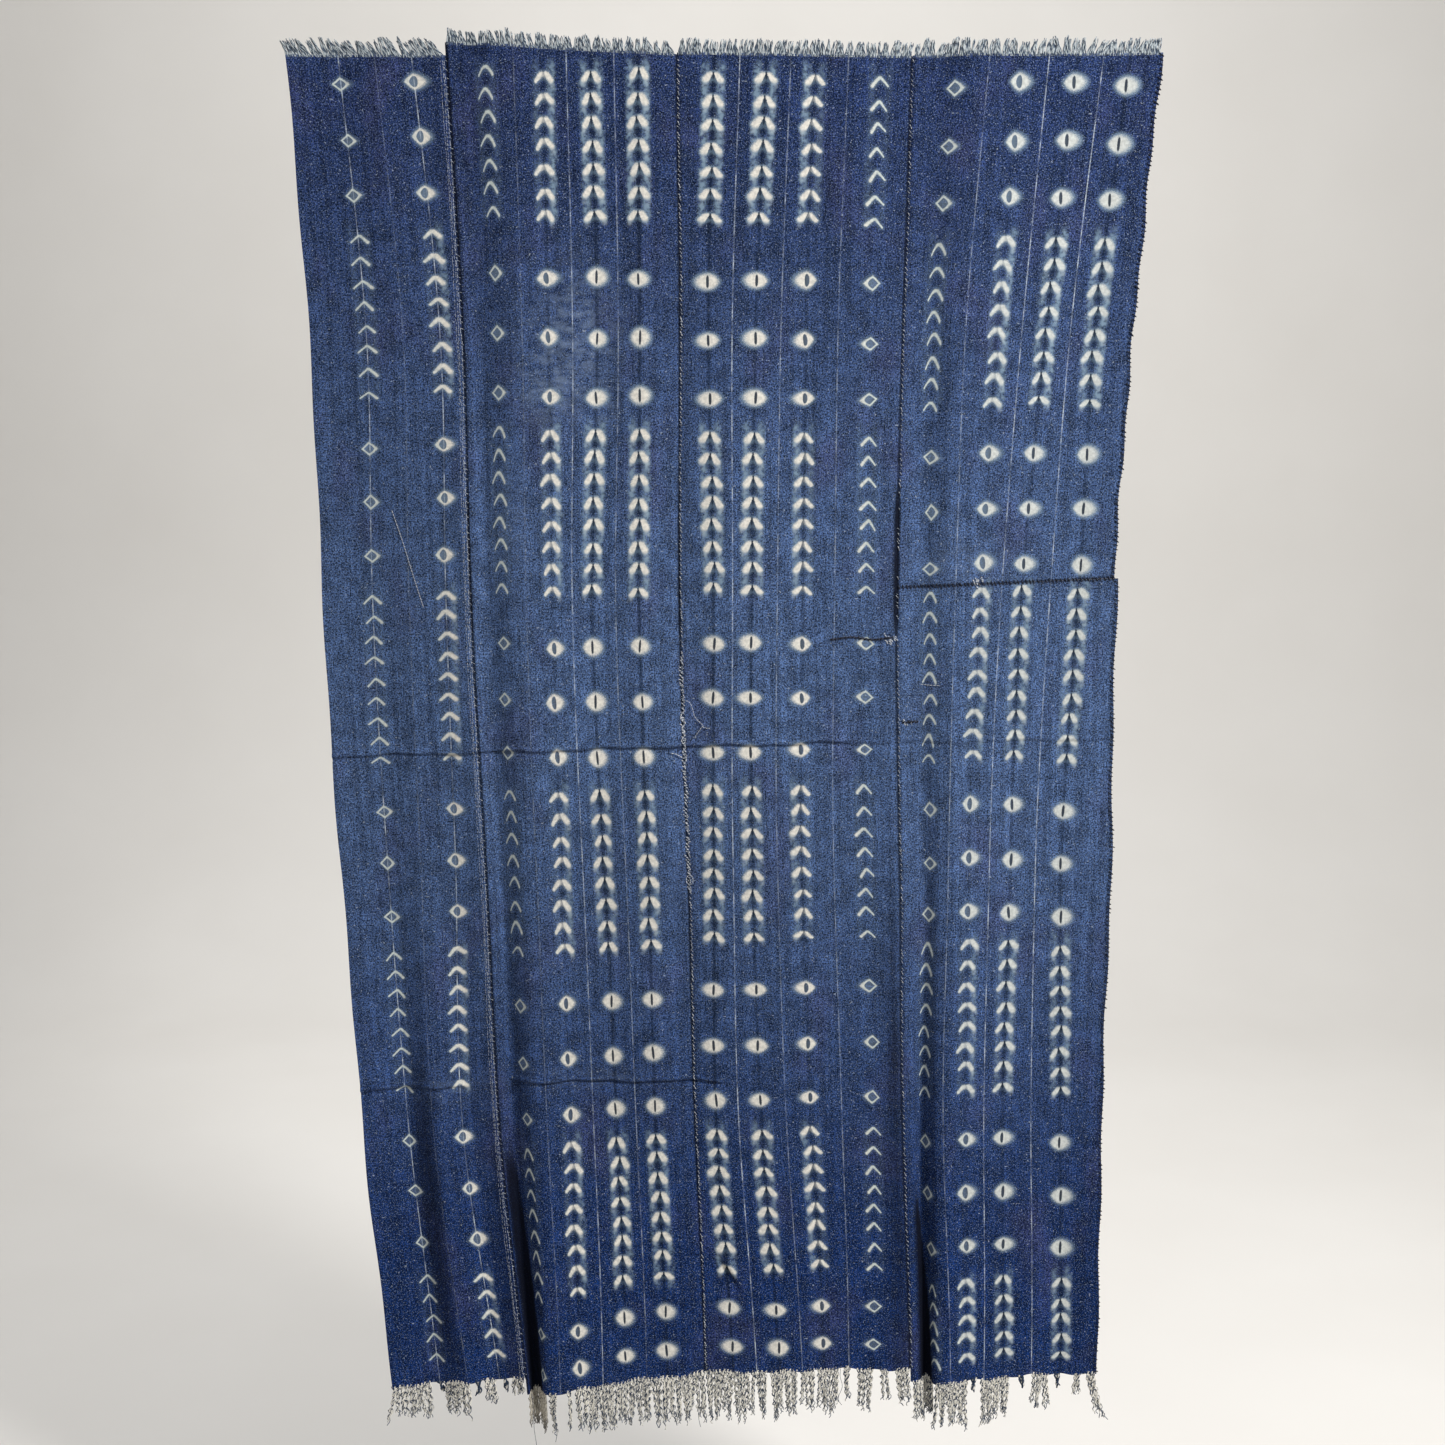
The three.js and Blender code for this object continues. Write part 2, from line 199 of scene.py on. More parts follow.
def hanging_sections():
    height = -GRID_Z / DROP
    headings = [along_table(LEVELS, face[1:], height) for face in FACES]
    edges = np.cumsum(FACES[:, 0])
    turn = np.repeat(headings[0][:, None], len(GRID_FLAT), axis=1)
    for k in range(1, len(FACES)):
        step = smooth_step((GRID_FLAT - edges[k - 1]) / BEND + 0.5)
        turn = turn + (headings[k] - headings[k - 1])[:, None] * step
    turn = np.radians(turn)
    middle = (turn[:, 1:] + turn[:, :-1]) / 2
    drawn = along_table(HANG[:, 0], HANG[:, 3], height)[:, None]
    zero = int(np.argmin(np.abs(GRID_FLAT)))
    tables = []
    for part, column in ((np.cos(middle), 1), (np.sin(middle), 2)):
        run = np.concatenate([np.zeros((len(GRID_Z), 1)), np.cumsum(part * drawn, axis=1)], axis=1)
        start = along_table(HANG[:, 0], HANG[:, column], height)[:, None]
        tables.append(run - run[:, zero:zero + 1] + start)
    return tables[0], tables[1], turn


GRID_X, GRID_FORWARD, GRID_TURN = hanging_sections()


def on_grid(table, flat, z):
    column = np.clip(flat - GRID_FLAT[0], 0, len(GRID_FLAT) - 1.001)
    row = np.clip((GRID_Z[0] - z) / GRID_STEP, 0, len(GRID_Z) - 1.001)
    c = column.astype(int)
    r = row.astype(int)
    s = column - c
    t = row - r
    upper = table[r, c] * (1 - s) + table[r, c + 1] * s
    lower = table[r + 1, c] * (1 - s) + table[r + 1, c + 1] * s
    return upper * (1 - t) + lower * t


def crease_place(crease, flat, z):
    """Height above a crease that wanders a little, and a share that fades out at its ends."""
    flat_a, z_a, flat_b, z_b = crease[:4]
    length = math.hypot(flat_b - flat_a, z_b - z_a)
    along = ((flat - flat_a) * (flat_b - flat_a) + (z - z_a) * (z_b - z_a)) / length
    across = ((z - z_a) * (flat_b - flat_a) - (flat - flat_a) * (z_b - z_a)) / length
    ends = smooth_step(along / CREASE_FADE) * smooth_step((length - along) / CREASE_FADE)
    return across + 1.2 * np.sin(along / 23) + 0.7 * np.sin(along / 9), ends


def relief(flat, z):
    """Small forms on the folds: creases, drawn-in seams and soft waves, in millimetres forward."""
    forward = sum(size * np.sin(flat / across + z / down + phase) for size, across, down, phase in WAVES)
    for seam in LONG_SEAMS:
        away = (flat - seam) ** 2
        forward = forward - 2.0 * np.exp(-away / 7)
        forward = forward + 0.4 * np.sin(z * 0.57 + seam) * np.exp(-away / 90)
    for crease in CREASES:
        half, size = crease[4:]
        across, ends = crease_place(crease, flat, z)
        ridge = bell((across - half) / half)
        groove = 0.9 * bell((across + 0.6 * half) / (0.8 * half))
        forward = forward + size * ends * (ridge - groove)
    return forward


def place(flat, z, depth=0.0):
    """Points in metres, depth millimetres in front of the middle of the sheet."""
    flat = np.asarray(flat, float)
    z = np.asarray(z, float) + 0 * flat
    turn = on_grid(GRID_TURN, flat, z)
    x = on_grid(GRID_X, flat, z) - depth * np.sin(turn)
    forward = on_grid(GRID_FORWARD, flat, z) + relief(flat, z) + depth * np.cos(turn)
    return np.stack([x, -forward, z], axis=-1) * MM


def hem_wave(flat):
    """Small ups and downs of the cut end, in millimetres."""
    return 1.3 * np.sin(flat / 6.5) + 1.1 * np.sin(flat / 15 + 1)


def piece_grid(name, across, down):
    """Flat places and heights on a piece, across and down being shares from 0 to 1."""
    strip, upper, lower, top_left, top_right, end_left, end_right = PIECES[name]
    width = upper + (lower - upper) * down
    flat = STRIP_START[strip] + SEAM / 2 + across * (width - SEAM)
    wander = 1.1 * np.sin(down * 43) + 0.9 * np.sin(down * 19 + 1)
    outer = {1: 1 - across, 4: across}.get(strip, 0 * across)
    flat = flat + wander * outer ** 6
    top = top_left + (top_right - top_left) * across
    end = end_left + (end_right - end_left) * across
    if name in HEM_PIECE.values():
        end = end + hem_wave(flat)
    return flat, top + (end - top) * down


# The chart of motifs: kind, count, depth of the first and the last row below the top edge
CHEVRON = 1
EYE = 2
ARCH = 3  # a chevron with bent legs
ROWS = {
    1: [(EYE, 3, 35, 166), (CHEVRON, 8, 217, 401), (EYE, 3, 465, 599), (CHEVRON, 9, 651, 853),
        (EYE, 3, 918, 1051), (CHEVRON, 8, 1103, 1279), (EYE, 3, 1347, 1484), (CHEVRON, 5, 1535, 1639)],
    2: [(CHEVRON, 7, 27, 190), (EYE, 3, 262, 405), (CHEVRON, 8, 452, 642), (EYE, 3, 710, 848),
        (CHEVRON, 8, 899, 1093), (EYE, 3, 1162, 1306), (CHEVRON, 8, 1351, 1538), (EYE, 2, 1588, 1640)],
    3: [(CHEVRON, 7, 29, 193), (EYE, 3, 265, 407), (CHEVRON, 8, 455, 639), (EYE, 3, 705, 841),
        (CHEVRON, 8, 892, 1078), (EYE, 3, 1147, 1292), (CHEVRON, 8, 1338, 1516), (EYE, 2, 1570, 1622)],
    4: [(EYE, 3, 37, 171), (CHEVRON, 8, 224, 413), (EYE, 3, 474, 609), (CHEVRON, 9, 645, 849),
        (EYE, 3, 912, 1048), (CHEVRON, 8, 1092, 1279), (EYE, 3, 1346, 1489), (CHEVRON, 5, 1540, 1638)],
}

# Motif columns at six depths: how much higher they sit, softness of the resist, places in the strip
DEPTHS = (0, 323, 640, 969, 1310, 1685)
LEVEL = (0, 0, 0, 0, 0, 0)
COLUMNS = {
    1: [(LEVEL, 0.05, (63, 71, 65, 61, 61, 65)),
        ((5, 5, 5, 5, 5, 5), 0.40, (151, 164, 161, 153, 141, 152))],
    2: [((8, 5, 5, 3, -10, -16), 0.08, (48, 46, 45, 43, 46, 50)),
        ((0, 0, 0, 0, -3, -8), 0.55, (117, 112, 112, 109, 108, 105)),
        ((0, 0, 0, 0, 1, 7), 0.88, (174, 173, 164, 165, 171, 168)),
        ((0, 0, 0, 2, 7, 14), 1.00, (231, 227, 225, 224, 224, 226))],
    3: [(LEVEL, 1.00, (44, 36, 44, 35, 29, 40)),
        (LEVEL, 0.88, (107, 96, 94, 86, 90, 104)),
        ((0, 0, 0, 3, 5, 5), 0.60, (166, 159, 160, 152, 158, 165)),
        ((-5, -4, 1, 4, 5, 4), 0.12, (245, 240, 243, 236, 242, 230))],
    4: [((-4, -4, -3, -1, -3, -4), 0.08, (53, 38, 44, 42, 38, 60)),
        ((4, 2, 3, 6, 6, 6), 0.50, (131, 120, 112, 97, 99, 103)),
        ((4, 2, 3, 3, 3, 4), 0.70, (197, 182, 166, 154, 152, 157)),
        ((0, 0, 0, -5, -6, -5), 0.82, (261, 244, 241, 223, 232, 239))],
}
ARCHED_STRIPS = (2, 4)
# Width and height factors of a strip's chevrons, in its thin and in its soft columns
THIN_STRETCH = {1: (1.2, 0.85), 2: (0.88, 1.2), 3: (1.02, 0.95), 4: (0.88, 1.2)}
SOFT_STRETCH = {1: (1.2, 0.80), 2: (1.12, 0.95), 3: (1.18, 0.90), 4: (1.16, 0.88)}
EYE_STRETCH = {1: (1.0, 1.0), 2: (0.88, 1.08), 3: (1.0, 0.95), 4: (0.96, 1.06)}
SOFT_SIDE = {1: 1, 2: 1, 3: -1, 4: 1}  # side towards which the resist gets softer
SOFT_RATE = 0.018  # change of softness in a millimetre
# Unevenness of the handwork: sideways in millimetres, tilt in radians, share of the width and of the height
SHIFT, TILT, WIDE, TALL = 0.8, 0.05, 0.05, 0.06
LAST_CHEVRON = 0.84  # height of the last chevron of a group, as a share of the others
# Strength of the pale fold lines: on the two columns and between them in strip 1, else between the columns
PALE_LINES = {1: (0.95, 0.95, 0.2), 2: (0.25, 0.8, 0.55), 3: (0.95, 0.5, 0.5), 4: (0.5, 0.85, 0.85)}


def column_places(strip, z):
    """The flat place of each motif column at these heights, columns on the last axis."""
    depth = np.clip(-z, DEPTHS[0], DEPTHS[-1])
    return np.stack([
        STRIP_START[strip] + along_table(DEPTHS, places, depth) for *_, places in COLUMNS[strip]
    ], axis=-1)


def table_at(values, depth):
    """A column's value at one depth."""
    return float(along_table(DEPTHS, values, np.array(depth)))


def motif_list(strip):
    """Every motif of a strip, one list for each column, with the small unevenness of handwork."""
    random = np.random.default_rng(40 + strip)
    columns = []
    for rise, soft, places in COLUMNS[strip]:
        blend = min(1.0, 1.6 * soft)
        stretch = [a + (b - a) * blend for a, b in zip(THIN_STRETCH[strip], SOFT_STRETCH[strip])]
        motifs = []
        for kind, count, first, last in ROWS[strip]:
            arched = kind == CHEVRON and strip in ARCHED_STRIPS
            factors = stretch if kind == CHEVRON else EYE_STRETCH[strip]
            for k in range(count):
                depth = first + (last - first) * k / (count - 1)
                shift, drop, tilt, wide, tall = random.normal(size=5)
                z = -depth + table_at(rise, depth) + drop
                flat = STRIP_START[strip] + table_at(places, -z) + SHIFT * shift
                full = LAST_CHEVRON if kind == CHEVRON and k == count - 1 else 1.0
                wide = (1 + WIDE * wide) * factors[0]
                tall = (full + TALL * tall) * factors[1]
                motifs.append((ARCH if arched else kind, flat, z, TILT * tilt, wide, tall))
        columns.append(np.array(motifs))
    return columns


def chevron_share(strip, z):
    """1 inside a group of chevrons, fading to 0 beyond its ends."""
    share = np.zeros_like(z)
    for kind, _, first, last in ROWS[strip]:
        if kind == CHEVRON:
            inside = smooth_step((-z - first + 26) / 16) * smooth_step((last + 10 + z) / 12)
            share = np.maximum(share, inside)
    return share


def own_column(values, nearest):
    """The nearest column's value, at each corner of each face."""
    return np.take_along_axis(values, np.repeat(nearest[:, None, None], 4, axis=1), axis=2)[..., 0]


def motif_maps(strip, flat, z):
    """Maps that the dye follows, for faces given by the flat place and height of their corners."""
    middle_flat = flat.mean(axis=1)
    middle_z = z.mean(axis=1)
    columns = column_places(strip, middle_z)
    nearest = np.argmin(np.abs(middle_flat[:, None] - columns), axis=1)
    local = np.zeros(flat.shape + (2,))
    style = np.zeros(flat.shape + (2,))
    for k, motifs in enumerate(motif_list(strip)):
        motifs = motifs[np.argsort(-motifs[:, 2])]
        borders = (motifs[1:, 2] + motifs[:-1, 2]) / 2
        row = np.searchsorted(-borders, -middle_z)
        kind, motif_flat, motif_z, tilt, wide, tall = motifs[row].T[:, :, None]
        dx = flat - motif_flat
        dz = z - motif_z
        here = (nearest == k)[:, None]
        p = (dx * np.cos(tilt) + dz * np.sin(tilt)) / wide
        q = (dz * np.cos(tilt) - dx * np.sin(tilt)) / tall
        soft = COLUMNS[strip][k][1] + SOFT_SIDE[strip] * SOFT_RATE * dx
        for values, pair in ((local, (p / CM, q / CM)), (style, (np.clip(soft, 0, 1), kind + 0 * p))):
            values[...] = np.where(here[..., None], np.stack(pair, axis=-1), values)
    corner_columns = column_places(strip, z)
    away = flat - own_column(corner_columns, nearest)
    column = np.stack([away / CM, chevron_share(strip, z)], axis=-1)
    lines = pale_line_map(strip, flat, corner_columns)
    return {"motif": local, "style": style, "column": column, "pale_line": lines}


def pale_line_map(strip, flat, columns):
    """Signed distance to the nearest pale fold line in centimetres, and how strong that line is."""
    between = (columns[..., 1:] + columns[..., :-1]) / 2
    if strip == 1:
        between = np.concatenate([columns, between], axis=-1)
    away = flat[..., None] - between
    nearest = np.argmin(np.abs(away.mean(axis=1)), axis=1)
    distance = own_column(away, nearest)
    strength = np.array(PALE_LINES[strip])[nearest][:, None] + 0 * distance
    return np.stack([distance / CM, strength], axis=-1)


# Meshes
def add_object(name, data):
    obj = bpy.data.objects.new(name, data)
    bpy.context.scene.collection.objects.link(obj)
    return obj


def smooth_mesh(name, points, faces, material):
    mesh = bpy.data.meshes.new(name)
    mesh.from_pydata(points, [], faces)
    mesh.polygons.foreach_set("use_smooth", np.ones(len(faces), bool))
    mesh.materials.append(material)
    return mesh


def mesh_object(name, points, faces, maps, material, traits):
    """One object from points in metres, lists of faces, maps per corner and traits per point."""
    mesh = smooth_mesh(name, points.tolist(), faces, material)
    for title, values in maps.items():
        layer = mesh.uv_layers.new(name=title)
        layer.data.foreach_set("uv", np.asarray(values, np.float32).ravel())
    for title, values in traits.items():
        attribute = mesh.attributes.new(title, "FLOAT", "POINT")
        attribute.data.foreach_set("value", np.asarray(values, np.float32).ravel())
    mesh.update()
    obj = add_object(name, mesh)
    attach(obj, "root")
    return obj


def uneven_shares(length, focus, reach, gain):
    """Shares from 0 to 1, closer together within reach of the focus places."""
    fine = np.linspace(0, length, 4000)
    density = np.ones_like(fine)
    for at in focus:
        density = density + gain * bell((fine - at) / reach)
    total = np.cumsum(density)
    total = (total - total[0]) / (total[-1] - total[0])
    return np.interp(np.linspace(0, 1, round(length / CELL) + 1), total, fine) / length


def recess_shade(flat, z):
    """Up to 1 where shade is painted: in the two dark folds, along the seams and creases, and in the fold
    shade and darker patches; 0 on the open cloth.
    """
    layers = [np.zeros_like(flat)]
    # Painted shade in the two dark folds, growing towards the hem
    for left, right_above, right, begin, end in RECESSES:
        down = np.clip((begin - z) / (begin - end), 0, 1)
        edge = right_above + (right - right_above) * down
        inside = smooth_step((flat - left) / 4 + 0.5) * smooth_step((edge - flat) / 4 + 0.5)
        layers.append(inside * smooth_step((begin - z) / 60))
    first, last = SLACK_SEAM
    slack = smooth_step((first - z) / 40) * smooth_step((z - last) / 40)
    # Painted shadow along the long seams, wider on the slack stretch
    for seam_flat, half, wider in SEAM_SHADOWS:
        across = np.abs(flat - seam_flat) / (half + wider * slack)
        layers.append((0.85 + 0.15 * slack) * smooth_step(1.5 - across))
    across_seam = np.abs(z - edge_height("strip_4_upper", flat, 1))
    across_seam = np.where(flat > STRIP_START[4], across_seam, CLOTH_WIDTH)
    layers.append(0.8 * smooth_step(1.5 - across_seam / 1.5))
    # Painted fold shade in the narrow places, a darker tone in the broad ones
    for at, height, half_wide, half_high, strength in FOLD_SHADE_AND_DARK_PATCHES:
        away = ((flat - at) / half_wide) ** 2 + ((z - height) / half_high) ** 4
        layers.append(strength * np.exp(-away))
    # Painted shade along the groove of each crease
    for crease in CREASES:
        across, ends = crease_place(crease, flat, z)
        layers.append(0.2 * crease[5] * ends * bell(across / 1.7))
    return np.clip(np.max(layers, axis=0), 0, 1)


def haze(flat, z):
    """Up to 1 in the rubbed places, 0 elsewhere."""
    total = np.zeros_like(flat)
    for at, height, half_wide, half_high, strength in RUBBED:
        away = ((flat - at) / half_wide) ** 2 + ((z - height) / half_high) ** 2
        total = total + strength * np.exp(-away)
    return np.clip(total, 0, 1)


def cloth_object(name, material):
    """A woven strip: front, back and the narrow rim between them."""
    strip, upper, lower, top_left, _, end_left, _ = PIECES[name]
    width = max(upper, lower)
    length = top_left - end_left
    creases = [top_left - z for z in CREASE_ROWS if end_left < z < top_left]
    row_shares = uneven_shares(length, creases + [0, length], *ROW_FOCUS)
    across, down = np.meshgrid(uneven_shares(width, (0, width), *EDGE_FOCUS), row_shares)
    rows, columns = across.shape
    flat, z = piece_grid(name, across, down)
    points = np.concatenate([place(flat, z, side * CLOTH / 2).reshape(-1, 3) for side in (1, -1)])
    front = np.arange(rows * columns).reshape(rows, columns)
    back = front + rows * columns

    def strip_faces(*corners):
        return np.stack([corner.ravel() for corner in corners], axis=1)

    sides = [
        strip_faces(front[:-1, :-1], front[1:, :-1], front[1:, 1:], front[:-1, 1:]),
        strip_faces(back[:-1, :-1], back[:-1, 1:], back[1:, 1:], back[1:, :-1]),
        strip_faces(front[:-1, 0], back[:-1, 0], back[1:, 0], front[1:, 0]),
        strip_faces(front[:-1, -1], front[1:, -1], back[1:, -1], back[:-1, -1]),
        strip_faces(front[0, :-1], front[0, 1:], back[0, 1:], back[0, :-1]),
        strip_faces(front[-1, :-1], back[-1, :-1], back[-1, 1:], front[-1, 1:]),
    ]
    faces = np.concatenate(sides)
    groups = np.repeat(np.arange(len(sides)), [len(side) for side in sides])

    def at_corners(values):
        return np.tile(values.ravel(), 2)[faces]

    flat_corner = at_corners(flat)
    z_corner = at_corners(z)
    maps = {"flat": np.stack([flat_corner, z_corner], axis=-1) / CM}
    maps.update(motif_maps(strip, flat_corner, z_corner))
    behind = faces >= rows * columns
    maps["OFBake"] = cloth_layout(groups[:, None], at_corners(across), at_corners(down), behind)
    top_line = 0.9 * bell(down * length / 2.2) * (top_left > -100)
    shade = recess_shade(flat, z).ravel()
    worn = np.maximum(haze(flat, z), top_line).ravel()
    traits = {"shade": np.concatenate([shade, BACK_SHADE * shade]), "haze": np.tile(worn, 2)}
    obj = mesh_object("cloth_" + name, points, faces.tolist(), maps, material, traits)
    obj.data.set_sharp_from_angle(angle=math.radians(SHARP))
    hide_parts(name)
    return obj


def cloth_layout(group, across, down, behind):
    """A layout without overlaps: front on the left, back on the right, rims in the gaps."""
    u = 0.01 + 0.46 * across
    v = 0.98 - 0.96 * down
    u = np.where(group == 1, u + 0.5, u)
    u = np.where(group == 2, np.where(behind, 0.995, 0.98), u)
    u = np.where(group == 3, np.where(behind, 0.495, 0.48), u)
    v = np.where(group == 4, np.where(behind, 0.997, 0.987), v)
    v = np.where(group == 5, np.where(behind, 0.003, 0.013), v)
    return np.stack([u, v], axis=-1)


def tubes(paths, radii, sides, reference, closed=False, tone=0.5):
    """Round yarns along paths of shape (yarns, points, 3) in metres, radii in millimetres."""
    count, steps = paths.shape[:2]
    if closed:
        tangent = np.roll(paths, -1, axis=1) - np.roll(paths, 1, axis=1)
    else:
        tangent = np.gradient(paths, axis=1)
    tangent = tangent / np.linalg.norm(tangent, axis=-1, keepdims=True)
    normal = np.cross(tangent, np.asarray(reference, float))
    normal = normal / np.linalg.norm(normal, axis=-1, keepdims=True)
    side = np.cross(tangent, normal)
    angle = np.arange(sides) * 2 * math.pi / sides
    radii = np.broadcast_to(np.asarray(radii, float), (count, steps)) * MM
    ring = normal[:, :, None] * np.cos(angle)[:, None] + side[:, :, None] * np.sin(angle)[:, None]
    points = paths[:, :, None] + ring * radii[:, :, None, None]
    index = np.arange(count * steps * sides).reshape(count, steps, sides)
    spans = steps if closed else steps - 1
    upper = index[:, :spans]
    lower = np.roll(index, -1, axis=1)[:, :spans]
    shape = (count, spans, sides)

    def corners(*values):
        return np.stack([np.broadcast_to(value, shape) for value in values], axis=-1)[..., ::-1]

    def per_point(values):
        return np.broadcast_to(np.asarray(values, float), (count, steps)).repeat(sides, axis=1).ravel()

    travel = np.linalg.norm(np.diff(paths, axis=1), axis=-1) / MM
    travel = np.concatenate([np.zeros((count, 1)), np.cumsum(travel, axis=1)], axis=1)
    before = travel[:, :spans, None]
    after = np.concatenate([travel[:, 1:], travel[:, -1:] + travel[:, 1:2]], axis=1)[:, :spans, None]
    around = np.arange(sides) / sides
    beside = around + 1 / sides
    share = np.arange(spans)[None, :, None] / spans
    u = corners(around, beside, beside, around)
    v = corners(before, before, after, after)
    w = corners(share, share, share + 1 / spans, share + 1 / spans)
    part = {
        "points": points.reshape(-1, 3),
        "quads": corners(upper, np.roll(upper, -1, 2), np.roll(lower, -1, 2), lower).reshape(-1, 4),
        "yarn": np.stack([u, v], axis=-1).reshape(-1, 4, 2),
        "layout": np.stack([u, w], axis=-1).reshape(count, -1, 4, 2),
        "tone": per_point(tone),
        "along": per_point(np.linspace(0, 1, steps)),
        "caps": [],
    }
    if not closed:
        part["caps"] = np.concatenate([index[:, 0], index[:, -1, ::-1]]).tolist()
    return part


def yarn_object(name, parts, material):
    """Joins yarns into one object, with each yarn in its own cell of the layout."""
    cells = math.ceil(math.sqrt(sum(part["layout"].shape[0] for part in parts)))
    points, faces, caps, yarn, layout = [], [], [], [], []
    offset = 0
    cell = 0
    for part in parts:
        points.append(part["points"])
        faces.extend((part["quads"] + offset).tolist())
        caps.extend([[i + offset for i in cap] for cap in part["caps"]])
        yarn.append(part["yarn"].reshape(-1, 2))
        number = cell + np.arange(part["layout"].shape[0])
        corner = np.stack([number % cells, number // cells], axis=-1)[:, None, None]
        layout.append(((part["layout"] * 0.8 + 0.1 + corner) / cells).reshape(-1, 2))
        offset += len(part["points"])
        cell += part["layout"].shape[0]
    cap_corners = sum(len(cap) for cap in caps)
    filler = np.zeros((cap_corners, 2))
    maps = {
        "yarn": np.concatenate(yarn + [filler]),
        "OFBake": np.concatenate(layout + [filler]),
    }
    traits = {title: np.concatenate([part[title] for part in parts]) for title in ("tone", "along")}
    obj = mesh_object(name, np.concatenate(points), faces + caps, maps, material, traits)
    return obj


# Shader graphs
class Value:
    """A number or a colour in a material's node graph, with the usual operators."""

    def __init__(self, graph, socket):
        self.graph = graph
        self.socket = socket

    def __rsub__(self, other):
        return self.graph.math("SUBTRACT", other, self)

    def __rtruediv__(self, other):
        return self.graph.math("DIVIDE", other, self)

    def equals(self, number):
        return self.graph.math("COMPARE", self, float(number), 0.1)

    def step(self, low, high, out_low=0.0, out_high=1.0):
        """A soft step from out_low at low to out_high at high."""
        inputs = (self, low, high, out_low, out_high)
        return self.graph.node("MapRange", dict(enumerate(inputs)), interpolation_type="SMOOTHSTEP")


OPERATORS = {
    "__add__": "ADD", "__sub__": "SUBTRACT", "__mul__": "MULTIPLY", "__truediv__": "DIVIDE",
    "__pow__": "POWER", "__abs__": "ABSOLUTE", "most": "MAXIMUM", "least": "MINIMUM",
}
for method, kind in OPERATORS.items():
    setattr(Value, method, lambda a, b=0.0, kind=kind: a.graph.math(kind, a, b))


class Graph:
    """A material and its node graph."""

    def __init__(self, name, roughness, sheen):
        self.material = bpy.data.materials.new(name)
        self.material.use_nodes = True
        self.tree = self.material.node_tree
        self.shader = self.tree.nodes["Principled BSDF"].inputs
        self.shader["Roughness"].default_value = roughness
        self.shader["Specular IOR Level"].default_value = 0.1
        self.shader["Sheen Weight"].default_value = sheen
        self.shader["Sheen Roughness"].default_value = 0.6

    def put(self, socket, value):
        if isinstance(value, Value):
            self.tree.links.new(value.socket, socket)
        else:
            socket.default_value = value

    def node(self, kind, inputs, output=0, **settings):
        """A node with these settings and these inputs, given by number or name."""
        node = self.tree.nodes.new("ShaderNode" + kind)
        for setting, value in settings.items():
            setattr(node, setting, value)
        for key, value in inputs.items():
            self.put(node.inputs[key], value)
        return Value(self, node.outputs[output])

    def math(self, operation, a, b=0.0, c=0.0, clamp=False):
        return self.node("Math", {0: a, 1: b, 2: c}, operation=operation, use_clamp=clamp)

    def length(self, x, y):
        return self.math("SQRT", x * x + y * y)

    def mix(self, factor, a, b):
        colours = [(*value, 1.0) if isinstance(value, tuple) else value for value in (a, b)]
        inputs = {0: factor, 6: colours[0], 7: colours[1]}
        return self.node("Mix", inputs, 2, data_type="RGBA", clamp_factor=True)

    def scale_colour(self, colour, factor):
        return self.node("VectorMath", {0: colour, "Scale": factor}, operation="SCALE")

    def map(self, name):
        """The two values of a map."""
        pair = self.node("UVMap", {}, uv_map=name)
        return [self.node("SeparateXYZ", {0: pair}, axis) for axis in (0, 1)]

    def attribute(self, name):
        return self.node("Attribute", {}, "Fac", attribute_name=name)

    def noise(self, x, y, scale, detail, z=0.0):
        return self.noise_at(self.node("CombineXYZ", {0: x, 1: y, 2: z}), scale, detail)

    def noise_at(self, vector, scale, detail):
        return self.node("TexNoise", {"Vector": vector, "Scale": scale, "Detail": detail})

    def bump(self, height, distance, strength):
        inputs = {"Strength": strength, "Distance": distance, "Height": height}
        self.put(self.shader["Normal"], self.node("Bump", inputs))

    def colour(self, value):
        self.put(self.shader["Base Color"], value)


# Colours of the cloth
INDIGO_TOP = (0.0125, 0.025, 0.082)
INDIGO_MIDDLE = (0.045, 0.079, 0.172)
# Darker at the hem, partly as painted shade of the lower cloth
INDIGO_HEM = (0.0042, 0.018, 0.083)
INDIGO_DEEP = (0.005, 0.010, 0.024)
INDIGO_WORN = (0.21, 0.28, 0.42)
LINT = (0.42, 0.48, 0.56)
# Near black of the painted shade
SHADE = (0.0028, 0.0038, 0.009)
TEAL = (0.20, 0.29, 0.39)
TAIL_PALE = (0.46, 0.53, 0.57)
LINE_PALE = (0.50, 0.57, 0.66)
CREAM = (0.79, 0.765, 0.70)
THIN_PALE = (0.60, 0.66, 0.64)
COOL_PALE = (0.62, 0.645, 0.625)
PURPLE = (0.036, 0.038, 0.105)
WARP_PITCH = 0.105  # in centimetres, like all lengths in the materials
WEFT_PITCH = 0.120


def oval(x, y, wide, tall, power):
    """1 on the rim of a rhombus or an oval, less inside it."""
    return (x / wide) ** power + (abs(y) / tall) ** power


